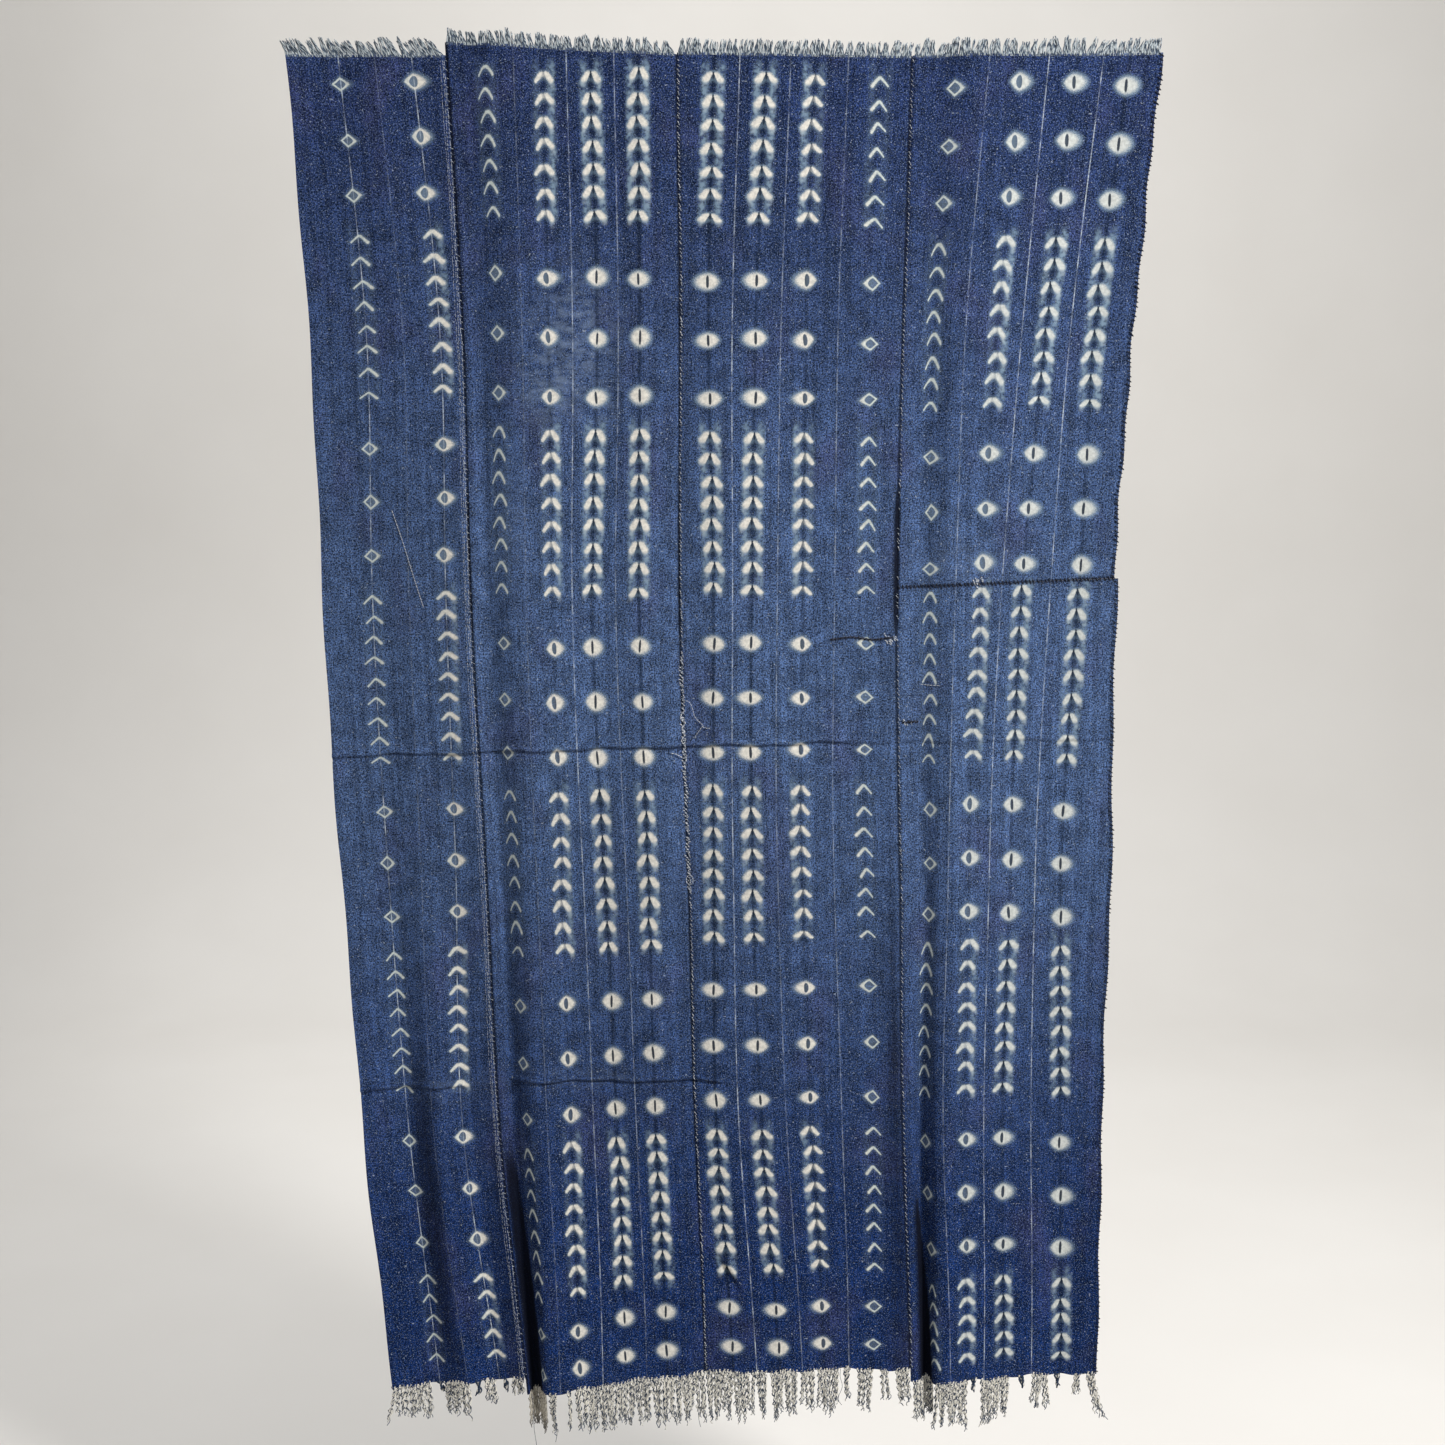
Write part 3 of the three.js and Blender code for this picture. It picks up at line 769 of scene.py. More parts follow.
def resist_shapes(g, u, v):
    """The resist marks: shares of pale, dark, halo and tails, and the softness."""
    p, q = g.map("motif")
    soft, kind = g.map("style")
    p = abs(p)
    ragged = g.noise(u, v, 6.0, 3.0) + g.noise(u, v, 14.0, 1.0, 4.0)
    ragged = (ragged - 1.0) * (soft * 0.30 + 0.16)
    edge = soft * 0.15 + 0.05
    back_edge = edge * -1.0
    split = soft.step(0.40, 0.70)

    # Chevron: two arched bars that thicken into petals as the resist softens
    is_arch = kind.equals(ARCH)
    bent = p ** (is_arch * (soft * -0.30 + 0.50) + 1.15)
    bar_x = soft * -0.42 + 0.88
    bar_y = soft * 0.40 - 1.02
    away_x = bent - soft * 0.26
    away_y = q - (soft * -0.08 + 0.50)
    dot = away_x * bar_x + away_y * bar_y
    along = g.math("DIVIDE", dot, bar_x * bar_x + bar_y * bar_y, clamp=True)
    reach = g.length(away_x - bar_x * along, away_y - bar_y * along)
    bar = reach - (soft * 0.36 + 0.105) + ragged
    wedge_half = (q * -0.30 + 0.29).least(0.46).most(0.09)
    wedge = (p - wedge_half + ragged * 0.4).step(0.05, -0.05) * split
    faded = (q + ragged * 1.5).step(-0.85, -0.25, 0.30, 1.0) * split + (1.0 - split)
    chevron = bar.step(edge, back_edge) * (1.0 - wedge) * faded
    slit = p.step(0.14, 0.05) * q.step(-0.55, 0.10) * q.step(1.05, 0.80) * split
    below = wedge * q.step(-1.5, -0.9) * q.step(1.00, 0.80) * q.step(-0.5, 0.6, 0.42, 0.95)
    tail = abs(p - (q * -0.06 + 0.86)).step(0.42, 0.05) * split
    tail = tail * q.step(-1.75, -0.35) * q.step(0.25, -0.25)
    hole = g.length(p - 1.0, q + 0.34).step(0.11, 0.05) * soft.step(0.6, 0.9)

    # Eye: a rhombus outline that fills in and rounds off, down to a dark slit
    power = soft * 0.85 + 1.0
    ring = oval(p, q, soft * 0.40 + 1.0, soft * 0.03 + 0.88, power) ** (1.0 / power)
    outside = (ring - 1.0) * 0.70 + ragged
    hollow_wide = soft.step(0.0, 0.85, 0.70, 0.18)
    inside = oval(p, q, hollow_wide, soft * 0.20 + 0.58, soft * 2.0 + 1.0) - 1.0
    hollow = (inside * hollow_wide + ragged * 0.35).step(0.07, -0.07)
    eye = outside.step(edge, back_edge) * (1.0 - hollow * 0.96)

    is_chevron = kind.equals(CHEVRON) + is_arch
    is_eye = kind.equals(EYE)
    pale = chevron * is_chevron + eye * is_eye
    dark = below.most(slit.most(hole)) * is_chevron + hollow * soft.step(0.3, 0.8) * is_eye
    glow = bar.step(0.45, 0.0) * is_chevron + outside.step(0.45, 0.0) * is_eye
    return pale, dark, glow * (soft * 0.45 + 0.22), tail * is_chevron, soft


def weave(g, u, v):
    """Plain weave: height of the yarns, and the tone of the yarn on top."""
    warp = u / WARP_PITCH
    weft = v / WEFT_PITCH
    warp_number = g.math("FLOOR", warp)
    weft_number = g.math("FLOOR", weft)
    on_top = g.math("FLOORED_MODULO", warp_number + weft_number, 2.0)
    under = 1.0 - on_top
    warp_round = g.math("SINE", g.math("FRACT", warp) * math.pi)
    weft_round = g.math("SINE", g.math("FRACT", weft) * math.pi)
    warp_up = warp_round * (weft_round * 0.45 + 0.55)
    weft_up = weft_round * (warp_round * 0.45 + 0.55)
    warp_tone = g.noise(warp_number * 1.7, v * 2.1, 1.0, 2.0, 3.0)
    weft_tone = g.noise(u * 2.1, weft_number * 1.7, 1.0, 2.0, 9.0)
    return warp_up * on_top + weft_up * under, warp_tone * on_top + weft_tone * under


def cloth_material():
    g = Graph("indigo_cloth", roughness=0.95, sheen=0.0)
    u, v = g.map("flat")
    depth = v * (-CM / DROP)
    height, tone = weave(g, u, v)
    pale, dark, glow, tail, soft = resist_shapes(g, u, v)
    column, chevrons = g.map("column")
    column = abs(column)
    line, line_strength = g.map("pale_line")

    # Ground: darker at the top and towards the hem than in the middle, the darker hem partly painted shade
    # of the lower cloth; streaked along the warp, mottled
    base = g.mix(depth.step(0.0, 0.45), INDIGO_TOP, INDIGO_MIDDLE)
    base = g.mix(depth.step(0.50, 0.93), base, INDIGO_HEM)
    cloud = g.noise(u, v * 0.6, 0.13, 3.0)
    base = g.mix(cloud.step(0.50, 0.75, 0.0, 0.45), base, PURPLE)
    streak = g.noise(u * 1.4, v * 0.03, 1.0, 3.0)
    mottle = g.noise(u, v, 0.45, 3.0)
    value = streak.step(0.25, 0.75, 0.74, 1.28) * mottle.step(0.25, 0.75, 0.70, 1.30)
    speck = g.noise(u, v * 0.85, 5.6, 2.0)
    thread = g.noise(u * 4.0, v * 0.35, 1.0, 2.0)
    heather = tone.step(0.30, 0.70, 0.40, 1.50) + speck.step(0.32, 0.70, -0.75, 1.20)
    heather = heather + thread.step(0.3, 0.7, -0.22, 0.22)
    base = g.scale_colour(base, value * heather.most(0.2))
    fleck = g.noise(u * 1.1, v, 6.5, 2.0)
    rub = g.noise(u * 0.5, v, 1.1, 4.0)
    worn = g.attribute("haze") * rub.step(0.35, 0.70)
    fleck = fleck.step(0.58, 0.68, 0.0, 0.90).most(worn * 0.8)
    base = g.mix(fleck, base, INDIGO_WORN)
    lint = g.noise(u, v, 4.5, 0.0, 7.0)
    base = g.mix(lint.step(0.78, 0.85, 0.0, 0.6), base, LINT)

    # Column streaks, halos and fold lines
    base = g.mix(column.step(0.40, 0.02) * (soft * 0.60), base, INDIGO_DEEP)
    patchy = g.noise(u, v, 1.6, 3.0)
    band = abs(column - (patchy * 0.6 + 0.62)).step(0.80, 0.0)
    band = band * chevrons * soft.step(0.20, 0.90, 0.12, 0.95) * patchy.step(0.32, 0.68, 0.10, 1.0)
    halo = band.most(glow) * depth.step(0.20, 0.60, 1.35, 0.85)
    base = g.mix(halo, base, TEAL)
    base = g.mix(tail * patchy.step(0.30, 0.66, 0.15, 0.75), base, TAIL_PALE)
    broken = g.noise(u * 0.6, v * 0.40, 1.0, 3.0)
    dashed = g.noise(0.5, v * 4.5, 1.0, 1.0)
    mark = abs(line).step(0.10, 0.03) * line_strength
    mark = mark * (broken.step(0.40, 0.62, 0.18, 1.0) * dashed.step(0.35, 0.6, 0.45, 1.0))
    base = g.mix(mark, base, LINE_PALE)

    # Resist: warm white, cooler on the right strip, with a little of the dye in its yarns
    base = g.mix(dark * 0.92, base, INDIGO_DEEP)
    stain = g.noise(u, v, 2.6, 2.0).step(0.3, 0.7, 0.84, 1.06)
    right_strip = u.step(STRIP_START[4] / CM - 0.1, STRIP_START[4] / CM + 0.1)
    white = g.mix(soft.step(0.05, 0.55), THIN_PALE, g.mix(right_strip, CREAM, COOL_PALE))
    white = g.scale_colour(g.mix(tone.step(0.60, 0.80, 0.0, 0.30), white, TEAL), stain)
    base = g.mix(pale, base, white)
    # Painted shade: the colour goes towards near black by the shade trait, in the dark folds, along seams
    # and creases and in the darker patches
    g.colour(g.mix(g.attribute("shade") * 0.94, base, SHADE))
    g.bump(height + tone * 0.8, 0.0005, 0.7)
    return g.material


TIP_BLUE = (0.050, 0.085, 0.15)
BEIGE = (0.34, 0.28, 0.18)


def yarn_material(name, white, blue, share, twist, tip=0.0):
    """Two-ply yarn: a pale and a blue ply that turn round each other."""
    g = Graph(name, roughness=0.9, sheen=0.1)
    around, along = g.map("yarn")
    own = g.attribute("tone")
    wobble = g.noise(along * 0.12, own * 40.0, 1.0, 2.0)
    turns = (around + along / twist) + (own * 7.0 + wobble)
    wave = g.math("SINE", turns * (2 * math.pi))
    bias = (own.least(0.9) - 0.5) * 1.2
    ply = (wave + bias).step(share - 0.35, share + 0.35)
    fibre = g.noise(around * 6.0, along, 1.4, 2.0, own)
    colour = g.mix(ply, blue, white)
    end = g.attribute("along").step(0.72, 0.95) * own.step(0.35, 0.75, 0.0, tip)
    colour = g.mix(end, colour, TIP_BLUE)
    colour = g.mix(own.step(1.1, 1.4, 0.0, 0.45), colour, BEIGE)
    g.colour(g.scale_colour(colour, fibre.step(0.25, 0.75, 0.55, 1.3)))
    strand = abs(g.math("SINE", turns * math.pi))
    g.bump(strand + fibre * 0.6, 0.0006, 0.8)
    return g.material


# Fringe
HEM_TUFTS = [  # strip, from and to on the strip, locks, length
    (1, 0, 4, 1, 50), (1, 4, 52, 9, 40), (1, 62, 68, 1, 13), (1, 72, 110, 8, 41), (1, 120, 126, 1, 12),
    (1, 130, 146, 3, 26), (1, 156, 162, 1, 11), (1, 172, 190, 4, 18),
    (2, 4, 54, 10, 46), (2, 62, 72, 2, 56), (2, 87, 92, 1, 50), (2, 98, 152, 12, 56),
    (2, 153, 217, 14, 56), (2, 218, 277, 13, 60),
    (3, 1, 60, 13, 60), (3, 64, 84, 4, 54), (3, 90, 126, 8, 58), (3, 132, 150, 4, 52),
    (3, 154, 184, 6, 56), (3, 190, 199, 2, 42), (3, 209, 230, 4, 58), (3, 241, 251, 2, 42),
    (3, 262, 280, 4, 46),
    (4, 4, 52, 11, 48), (4, 60, 106, 10, 58), (4, 113, 119, 1, 13), (4, 126, 166, 9, 54),
    (4, 179, 185, 1, 13), (4, 200, 222, 5, 42), (4, 231, 237, 1, 15), (4, 258, 266, 2, 22),
    (4, 274, 286, 3, 54),
]
HEM_LEAN = {(1, 0): -10, (4, 274): 16}  # how far the tips of these locks swing to the right
# Long loose threads at the hem: strip, place on the strip, length, wiggle
HEM_THREADS = [(2, 6, 74, 1.0), (2, 70, 62, 1.5), (2, 268, 74, 2.0), (3, 186, 50, 4.5)]
LOCK_YARNS = 4
KNOT_LENGTH = 20  # single locks shorter than this are knotted, dark ends
LOCK_RADIUS = 0.95
KNOT_RADIUS = 1.3
ROOT = 2.5  # length of a fringe yarn inside the cloth
FACING = (0, 1, 0)  # direction towards which the rings of the yarns are turned
BEIGE_TUFT = (2, 4)  # strip and place of the tuft that has gone beige
END_PITCH = 0.95  # spacing of the frayed warp ends
END_RADIUS = 0.78
TOP_TUFTS = {1: (190, 12, -9), 2: (276, 9, -2), 3: (280, 10, 2), 4: (296, 11, 2)}  # to, length, lean


def edge_height(name, flat, end):
    """Height of a piece's top (0) or end (1) edge at these flat places."""
    strip, upper, lower, top_left, top_right, end_left, end_right = PIECES[name]
    across = (flat - STRIP_START[strip]) / (lower if end else upper)
    left, right = (end_left, end_right) if end else (top_left, top_right)
    wave = hem_wave(flat) if end and name in HEM_PIECE.values() else 0
    return left + (right - left) * across + wave


def hem_lock(strip, start, root, pitch, length, knot, random):
    """The yarns of one crinkled lock, each as path, tone and radius."""
    t = np.linspace(0, 1, 25)
    sway, swing, phase, stretch, wave = random.normal(size=5)
    turns = length / (9 + 3 * random.random())
    hem = edge_height(HEM_PIECE[strip], np.array(root), 1)
    lean = HEM_LEAN.get((strip, start), 0)
    gather = smooth_step(t / 0.25)
    yarns = []
    for y in range(LOCK_YARNS):
        own, short, loose = random.random(3)
        own = 0.60 + 0.40 * own if y % 2 else 0.35 * own
        reach = (BACKING + length) * (1 + 0.08 * np.clip(stretch, -1.5, 1.5) - 0.20 * short)
        spin = 2 * math.pi * (turns * t + y / LOCK_YARNS) + phase * 3
        coil = (1.25 + 0.7 * loose) * (0.5 + 0.5 * gather) * (1 + 0.25 * np.sin(9 * t + phase + 2 * y))
        spread = (y - (LOCK_YARNS - 1) / 2) * pitch * 0.30 * (1 - 0.5 * gather)
        drift = (2.6 * sway + lean) * t ** 1.6 + 1.5 * np.sin(5 * t + 3 * wave) * t
        fray = (loose - 0.5) * 5.0 * smooth_step((t - 0.6) / 0.4)
        flat = root + spread + drift + fray + coil * np.cos(spin)
        depth = 0.8 * coil * np.sin(spin) + 1.4 * swing * t * t
        z = hem + ROOT - (reach + ROOT) * t
        tone = own - 1.1 if knot else own
        tone = tone + 1.4 if (strip, start) == BEIGE_TUFT else tone
        radius = (KNOT_RADIUS if knot else LOCK_RADIUS - 0.15 * own) * (1 - 0.45 * t ** 4)
        yarns.append((place(flat, z, depth), tone + 0 * t, radius))
    return yarns


def yarn_tubes(yarns):
    paths, tones, radii = (np.array(column) for column in zip(*yarns))
    return tubes(paths, radii, 5, FACING, tone=tones)


def hem_fringe(strip, material):
    """Crinkled locks below the hem, knotted ends and a few long loose threads."""
    random = np.random.default_rng(60 + strip)
    parts = []
    for own_strip, start, stop, locks, length in HEM_TUFTS:
        if own_strip != strip:
            continue
        pitch = (stop - start) / locks
        knot = locks == 1 and length < KNOT_LENGTH
        yarns = []
        for k in range(locks):
            root = STRIP_START[strip] + start + (k + 0.5) * pitch
            yarns += hem_lock(strip, start, root, pitch, length, knot, random)
        parts.append(yarn_tubes(yarns))
    t = np.linspace(0, 1, 30)
    for own_strip, start, length, wiggle in HEM_THREADS:
        if own_strip == strip:
            flat = STRIP_START[strip] + start + wiggle * np.sin(9 * t + start) * t
            z = edge_height(HEM_PIECE[strip], flat, 1) - length * t
            path = place(flat, z, 2.0 + 0.6 * np.sin(7 * t))
            parts.append(tubes(path[None], 0.32, 5, FACING, tone=-0.6))
    obj = yarn_object(f"hem_yarns_{strip}", parts, material)
    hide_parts(f"hem_fringe_{strip}")
    return obj


def top_fringe(strip, material):
    """Short frayed warp ends above the top edge, gathered a few at a time."""
    random = np.random.default_rng(80 + strip)
    stop, length, lean = TOP_TUFTS[strip]
    t = np.linspace(0, 1, 7)
    ends = round((stop - 2) / END_PITCH)
    yarns = []
    clump = 0
    left = 0
    for k in range(ends):
        if left == 0:
            left = int(random.integers(4, 10))
            clump = k + left / 2
            clump_lean, clump_reach = random.normal(size=2)
        left -= 1
        sway, own, reach = random.random(3)
        root = STRIP_START[strip] + 2 + (k + 0.5) * END_PITCH
        towards = (clump - k) * END_PITCH * 0.45
        tip = towards + lean + 2.2 * clump_lean + 2.5 * (sway - 0.5)
        tall = (BACKING + length) * (0.86 + 0.10 * clump_reach + 0.25 * reach)
        flat = root + tip * t ** 1.3 + 0.5 * np.sin(7 * t + 9 * own)
        z = edge_height(TOP_PIECE[strip], np.array(root), 0) - ROOT + (tall + ROOT) * t
        path = place(flat, z, (own - 0.5) * 2.6 * t + 0.5 * np.sin(5 * t + 20 * sway))
        yarns.append((path, own + 0 * t, END_RADIUS * (1 - 0.4 * t ** 3)))
    obj = yarn_object(f"top_yarns_{strip}", [yarn_tubes(yarns)], material)
    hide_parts(f"top_fringe_{strip}")
    return obj


# Sewing
LOOP = np.linspace(0, 2 * math.pi, 9)[:-1]  # angles of the points round a stitch
LIFT_FRONT = 1.9  # how far a whip stitch stands off the cloth, as a factor
LIFT_BACK = 1.15
# Fine running stitches left of the first seam: place beside it, radius, and what all rows share
RUNNING_ROWS = {1: [(-6.4, 0.24), (-4.0, 0.30), (-1.6, 0.38)]}
RUNNING_ENDS = (-6, -1662)
RUNNING_PITCH = 4.6
RUNNING_LENGTH = 3.4
# Whip stitches of a seam: place beside it, sway and its wave, heights, pitch, half width, rise, radius
WHIP_ROWS = {
    1: [(0.0, 0.0, 60, -4, -1662, 9.0, 1.7, 1.0, 0.30)],
    2: [(1.4, 0.5, 60, -4, -1655, 5.6, 1.3, 2.1, 0.56), (0.0, 1.2, 9, -722, -1020, 5.2, 2.6, 2.6, 0.72)],
    3: [(1.0, 0.5, 45, -3, -1648, 6.0, 1.2, 1.9, 0.42)],
}
GAPING = 3  # the seam with the slack stretch, and the share of stitches left there
STITCHES_LEFT = 0.3
# Loose threads on the middle seam: places as flat, height and depth, then radius and steps
ZIGZAG = [(470 + side, -790 - 7.5 * k, 0.4) for k, side in enumerate((2, -3, 3, -2, 2, -3, 2, -2, 3, -1))]
LOOSE_THREADS = {2: [
    (ZIGZAG, 0.8, 60),
    ([(471, -776, 0.2), (480, -779, 2), (484, -788, 3), (487, -798, 2), (497, -808, 1), (495, -810, 1),
      (484, -824, 0.5)], 0.42, 28),
    ([(495, -809, 1), (500, -811, 1), (506, -811, 1)], 0.36, 10),
    ([(452, -843, 1), (459, -844, 2), (466, -848, 2), (471, -850, 1), (474, -846, 1)], 0.6, 28),
    ([(470, -996, 0.5), (476, -1001, 3), (475, -1009, 3), (468, -1009, 2), (467, -1002, 1),
      (472, -998, 0.5)], 0.5, 28),
]}
# Overcasting of the right edge: pitch, distance from the edge, half width, rise, radius
SELVEDGE_PITCH = 5.6
SELVEDGE_INSET = 1.6
SELVEDGE_STITCH = (2.5, 1.5, 0.62)
CROSS_STITCHES = 56
CROSS_PITCH = 5.1
CROSS_RADIUS = 0.75
# Dark darns: first place, stitches, pitch, height, size and wave of its sway, length, radius, direction
DARK_DARNS = [
    (668, 15, 5.4, -699, 1.5, 9, 5.6, 1.25, (1.0, 0.15)),
    (760, 5, 4.6, -803, 0.0, 9, 4.4, 1.2, (0.9, 0.4)),
]
PALE_DARNS = [(858, -630, 14), (744, -700, 16), (764, -804, 5)]  # flat place, height, stitches
PALE_DIRECTION = (0.5, -0.86)
# Single pale threads that lie on the cloth
PALE_THREADS = [
    ([(783, -756, 0.1), (797, -757, 0.2), (811, -757, 0.1)], 0.4, 10),
    ([(95, -541, 0.1), (107, -578, 0.1), (119, -620, 0.1), (131, -661, 0.1)], 0.42, 28),
]


def whip_stitches(flat, z, half, rise, radius, random):
    """Closed loops over a seam that runs down the cloth."""
    count = len(z)
    uneven = random.normal(size=(3, count, 1))
    half = half * (1 + 0.2 * uneven[0])
    rise = rise * (1 + 0.3 * uneven[1])
    loop_flat = flat[:, None] + half * np.cos(LOOP) + 0.3 * uneven[2]
    loop_z = z[:, None] - rise * np.cos(LOOP)
    lift = np.where(np.sin(LOOP) > 0, LIFT_FRONT, LIFT_BACK)
    depth = (CLOTH / 2 + radius * 0.7) * np.sin(LOOP) * lift
    tone = random.random((count, 1)) + 0 * LOOP
    thickness = radius * (1 + 0.12 * uneven[1])
    return tubes(place(loop_flat, loop_z, depth), thickness, 4, (0, 0, 1), closed=True, tone=tone)


def running_stitches(flat, z, length, radius, random, direction=(0.0, -1.0)):
    """Short dashes that lie on the front of the cloth."""
    t = np.linspace(-0.5, 0.5, 5)
    count = len(z)
    uneven = random.normal(size=(2, count, 1))
    run = length * (1 + 0.2 * uneven[0]) * t
    dash_flat = flat[:, None] + run * direction[0] + 0.25 * uneven[1]
    dash_z = z[:, None] + run * direction[1]
    depth = CLOTH / 2 + radius * (0.9 - 4.0 * t * t)
    tone = random.random((count, 1)) + 0 * t
    return tubes(place(dash_flat, dash_z, depth), radius, 5, FACING, tone=tone)


def loose_thread(points, radius, steps):
    """A thread through a few places given as flat, height and depth in front of the cloth."""
    points = np.array(points, float)
    t = np.linspace(0, len(points) - 1, steps)
    knots = np.arange(len(points))
    flat, z, depth = (along_table(knots, points[:, i], t) for i in range(3))
    path = place(flat, z, CLOTH / 2 + radius + depth)
    return tubes(path[None], radius, 5, FACING, tone=0.7)


def seam_heights(first, last, pitch, random):
    count = int(abs(last - first) / pitch)
    return first + (last - first) * (np.arange(count) + 0.5 + 0.15 * random.normal(size=count)) / count


def seam(number, thread):
    """A long seam: running stitches beside it, whip stitches over it, threads that have come loose."""
    random = np.random.default_rng(10 + number)
    start = STRIP_START[number + 1]
    parts = []
    for beside, radius in RUNNING_ROWS.get(number, []):
        z = seam_heights(*RUNNING_ENDS, RUNNING_PITCH, random)
        flat = start + beside + 0.5 * np.sin(z / 37 + beside)
        parts.append(running_stitches(flat, z, RUNNING_LENGTH, radius, random))
    for beside, sway, wave, first, last, pitch, half, rise, radius in WHIP_ROWS[number]:
        z = seam_heights(first, last, pitch, random)
        if number == GAPING:
            slack = (z < SLACK_SEAM[0] - 5) & (z > SLACK_SEAM[1])
            z = z[~slack | (random.random(len(z)) < STITCHES_LEFT)]
        flat = start + beside + sway * np.sin(z / wave)
        parts.append(whip_stitches(flat, z, half, rise, radius, random))
    parts += [loose_thread(*thread_row) for thread_row in LOOSE_THREADS.get(number, [])]
    return yarn_object(f"seam_stitches_{number}", parts, thread)


def right_selvedge(dark):
    """Dark overcasting round the right edge."""
    random = np.random.default_rng(14)
    parts = []
    for name in ("strip_4_upper", "strip_4_lower"):
        down = np.linspace(0.004, 0.996, int((PIECES[name][3] - PIECES[name][5]) / SELVEDGE_PITCH))
        flat, z = piece_grid(name, np.ones_like(down), down)
        parts.append(whip_stitches(flat - SELVEDGE_INSET, z, *SELVEDGE_STITCH, random))
    return yarn_object("selvedge_stitches", parts, dark)


def cross_seam(dark):
    """Dark overcasting where the right strip is pieced."""
    random = np.random.default_rng(15)
    count = CROSS_STITCHES
    flat = STRIP_START[4] + 3 + np.arange(count) * CROSS_PITCH + 0.5 * random.normal(size=count)
    z = edge_height("strip_4_upper", flat, 1)
    loop_flat = flat[:, None] + 1.3 * np.cos(LOOP)
    loop_z = z[:, None] - (2.4 + 0.5 * random.random((count, 1))) * np.cos(LOOP)
    paths = place(loop_flat, loop_z, 1.45 * np.sin(LOOP))
    tone = random.random((count, 1)) + 0 * LOOP
    part = tubes(paths, CROSS_RADIUS, 4, (1, 0, 0), closed=True, tone=tone)
    return yarn_object("cross_seam_stitches", [part], dark)


def darns(pale, dark):
    """Small mends, in dark and in pale thread."""
    random = np.random.default_rng(16)
    dark_parts = []
    for first, count, pitch, height, size, wave, length, radius, direction in DARK_DARNS:
        flat = first + np.arange(count) * pitch
        z = height + size * np.sin(flat / wave)
        dark_parts.append(running_stitches(flat, z, length, radius, random, direction))
    pale_parts = []
    for centre_flat, centre_z, count in PALE_DARNS:
        spot = random.normal(size=(2, count))
        flat = centre_flat + 3.4 * spot[0]
        z = centre_z + 2.6 * spot[1]
        pale_parts.append(running_stitches(flat, z, 5.5, 0.7, random, PALE_DIRECTION))
    pale_parts += [loose_thread(*thread_row) for thread_row in PALE_THREADS]
    return [
        yarn_object("darn_dark", dark_parts, dark),
        yarn_object("darn_pale", pale_parts, pale),
    ]


# Making the cloth
cloth = cloth_material()
marled = yarn_material("marled_yarn", (0.88, 0.85, 0.77), (0.018, 0.036, 0.075), -0.32, 13.0, 0.95)
frayed = yarn_material("frayed_yarn", (0.40, 0.45, 0.48), (0.070, 0.100, 0.150), 0.05, 11.0)
pale_thread = yarn_material("pale_thread", (0.62, 0.66, 0.72), (0.10, 0.14, 0.23), -0.1, 4.0)
dark_thread = yarn_material("dark_thread", (0.024, 0.031, 0.062), (0.004, 0.006, 0.012), 0.3, 4.0)

panels = {name: cloth_object(name, cloth) for name in PIECES}
hems = {strip: hem_fringe(strip, marled) for strip in STRIP_START}
tops = {strip: top_fringe(strip, frayed) for strip in STRIP_START}
seams = {number: seam(number, pale_thread) for number in WHIP_ROWS}
selvedge = right_selvedge(dark_thread)
pieced = cross_seam(dark_thread)
mends = darns(pale_thread, dark_thread)


# Stage
FLOOR = CAD_BOX[0][2] - 0.32  # all in metres
BACK = 4.2  # distance of the backdrop behind the cloth
HALF = 12.0  # half width of the floor
SWEEP = 1.4  # radius in which the floor turns up
RISE = 6.0  # height of the backdrop
SWEEP_STEPS = 24


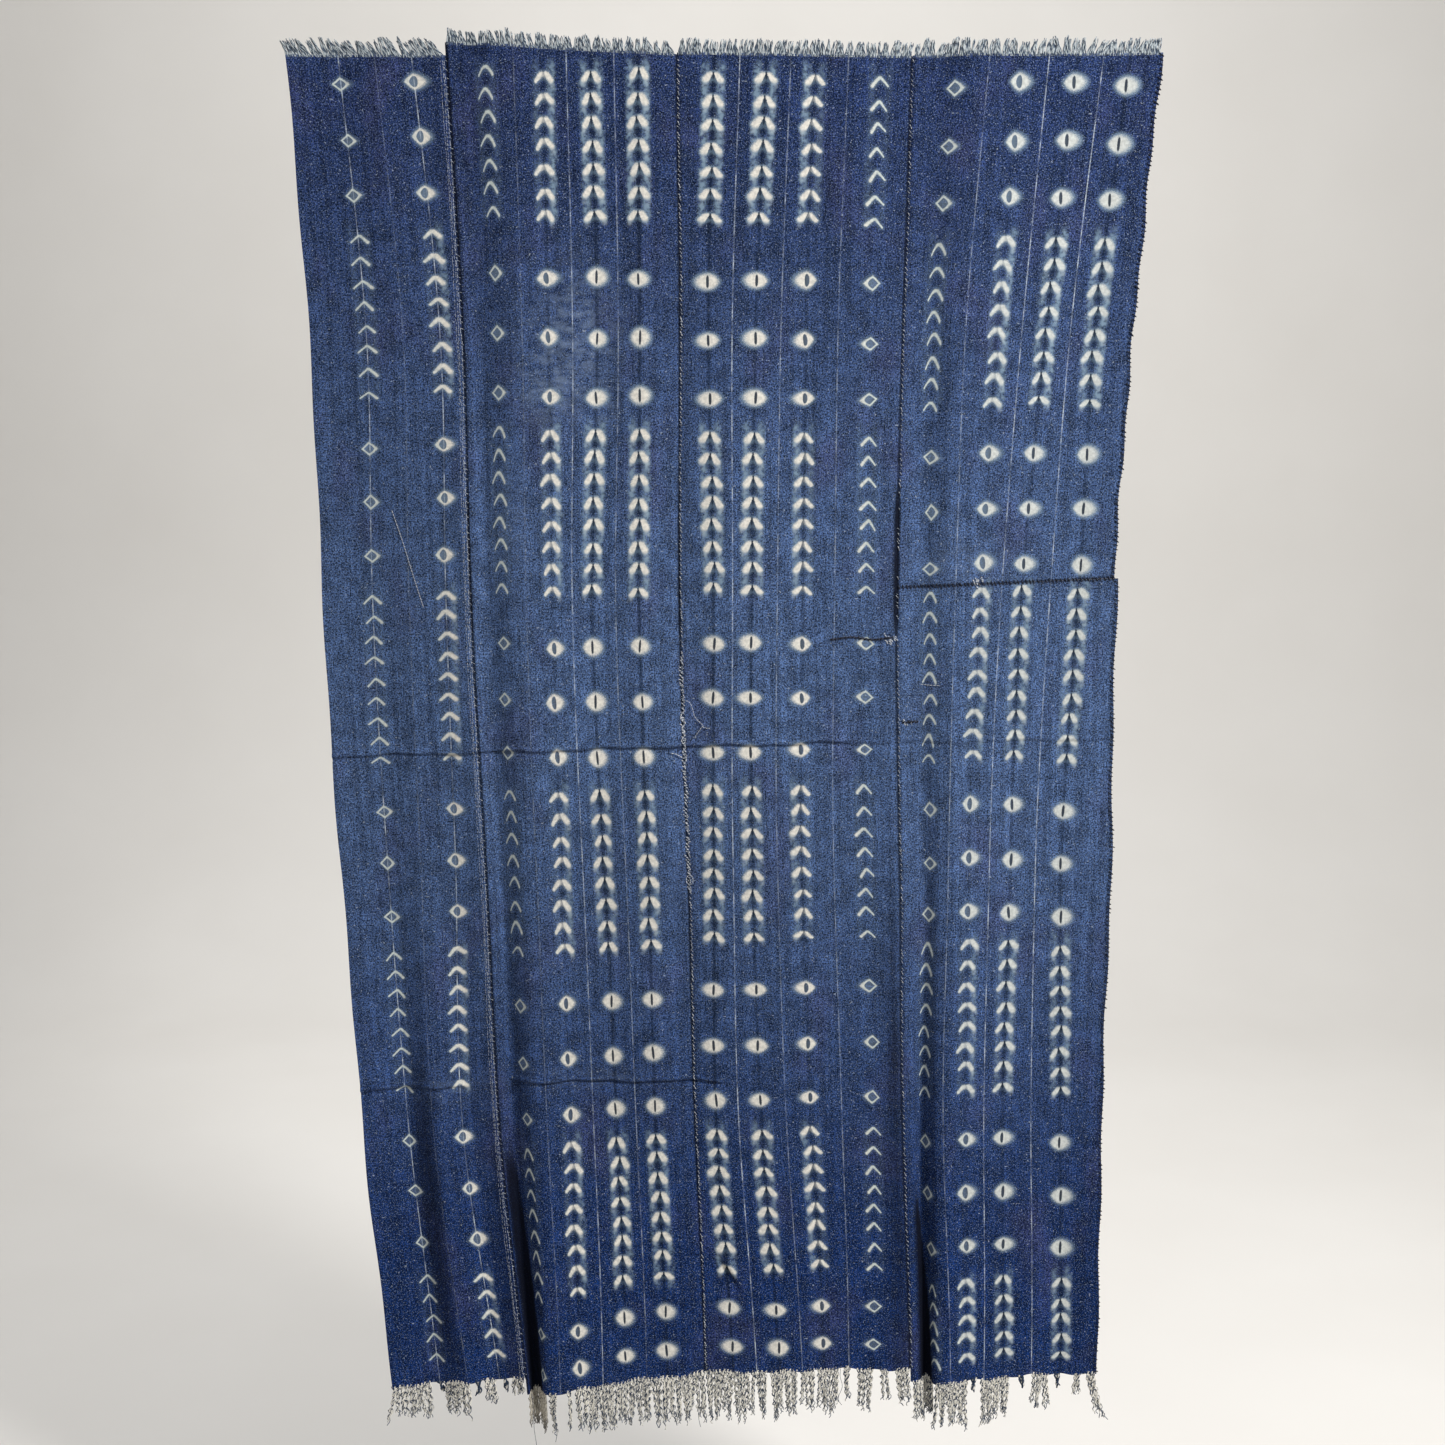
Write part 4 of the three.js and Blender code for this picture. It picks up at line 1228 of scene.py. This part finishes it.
def backdrop():
    """A pale floor that turns up into a backdrop far behind."""
    curve = [(-HALF, FLOOR)]
    for k in range(SWEEP_STEPS + 1):
        a = k / SWEEP_STEPS * math.pi / 2
        curve.append((BACK - SWEEP + SWEEP * math.sin(a), FLOOR + SWEEP - SWEEP * math.cos(a)))
    curve.append((BACK, FLOOR + RISE))
    points = [(x, y, z) for y, z in curve for x in (-HALF, HALF)]
    faces = [(2 * k, 2 * k + 1, 2 * k + 3, 2 * k + 2) for k in range(len(curve) - 1)]
    g = Graph("pale_floor", roughness=0.95, sheen=0.0)
    grain = g.noise_at(g.node("TexCoord", {}, "Object"), 2.0, 3.0)
    g.colour(g.mix(grain, (0.71, 0.69, 0.66), (0.77, 0.755, 0.73)))
    obj = add_object("floor", smooth_mesh("floor", points, faces, g.material))


def area_light(name, place_at, aim, size, power, colour):
    light = bpy.data.lights.new(name, "AREA")
    light.shape = "DISK"
    light.size = size
    light.energy = power
    light.color = colour
    obj = add_object(name, light)
    obj.location = place_at
    direction = np.array(aim) - np.array(place_at)
    flat_run = math.hypot(direction[0], direction[1])
    obj.rotation_euler = (math.atan2(flat_run, -direction[2]), 0, math.atan2(-direction[0], direction[1]))


MIDDLE = (0.0, 0.0, -0.85)
backdrop()
LIGHTS = [  # name, place, aim, size, power, colour
    ("key", (2.4, -2.1, 1.0), MIDDLE, 0.8, 150, (1.0, 0.98, 0.95)),
    ("fill", (-0.8, -3.2, 0.5), MIDDLE, 2.0, 4, (0.95, 0.97, 1.0)),
    ("backdrop_light", (0.0, 1.0, 2.6), (0.0, 3.6, -1.2), 3.0, 95, (1.0, 0.99, 0.97)),
    ("back_light", (-1.2, 2.4, 1.6), MIDDLE, 2.0, 40, (1.0, 1.0, 1.0)),
]
for light in LIGHTS:
    area_light(*light)

world = bpy.data.worlds.new("studio")
world.use_nodes = True
background = world.node_tree.nodes["Background"].inputs
background["Color"].default_value = (0.92, 0.93, 0.95, 1.0)
background["Strength"].default_value = 0.26
bpy.context.scene.world = world
bpy.context.scene.view_settings.view_transform = "Standard"

# Camera: seven degrees down on the cloth from 2.2 m
CAMERA_PLACE = (-0.0018, -2.1746, -0.538)
CAMERA_TILT = 7.0
FOCAL_SHARE = 1752 / 1445  # focal length over frame width
SENSOR = 36.0
camera = add_object("camera", bpy.data.cameras.new("camera"))
camera.location = CAMERA_PLACE
camera.rotation_euler = (math.radians(90 - CAMERA_TILT), 0, 0)
camera.data.sensor_width = SENSOR
camera.data.lens = SENSOR * FOCAL_SHARE
bpy.context.scene.camera = camera
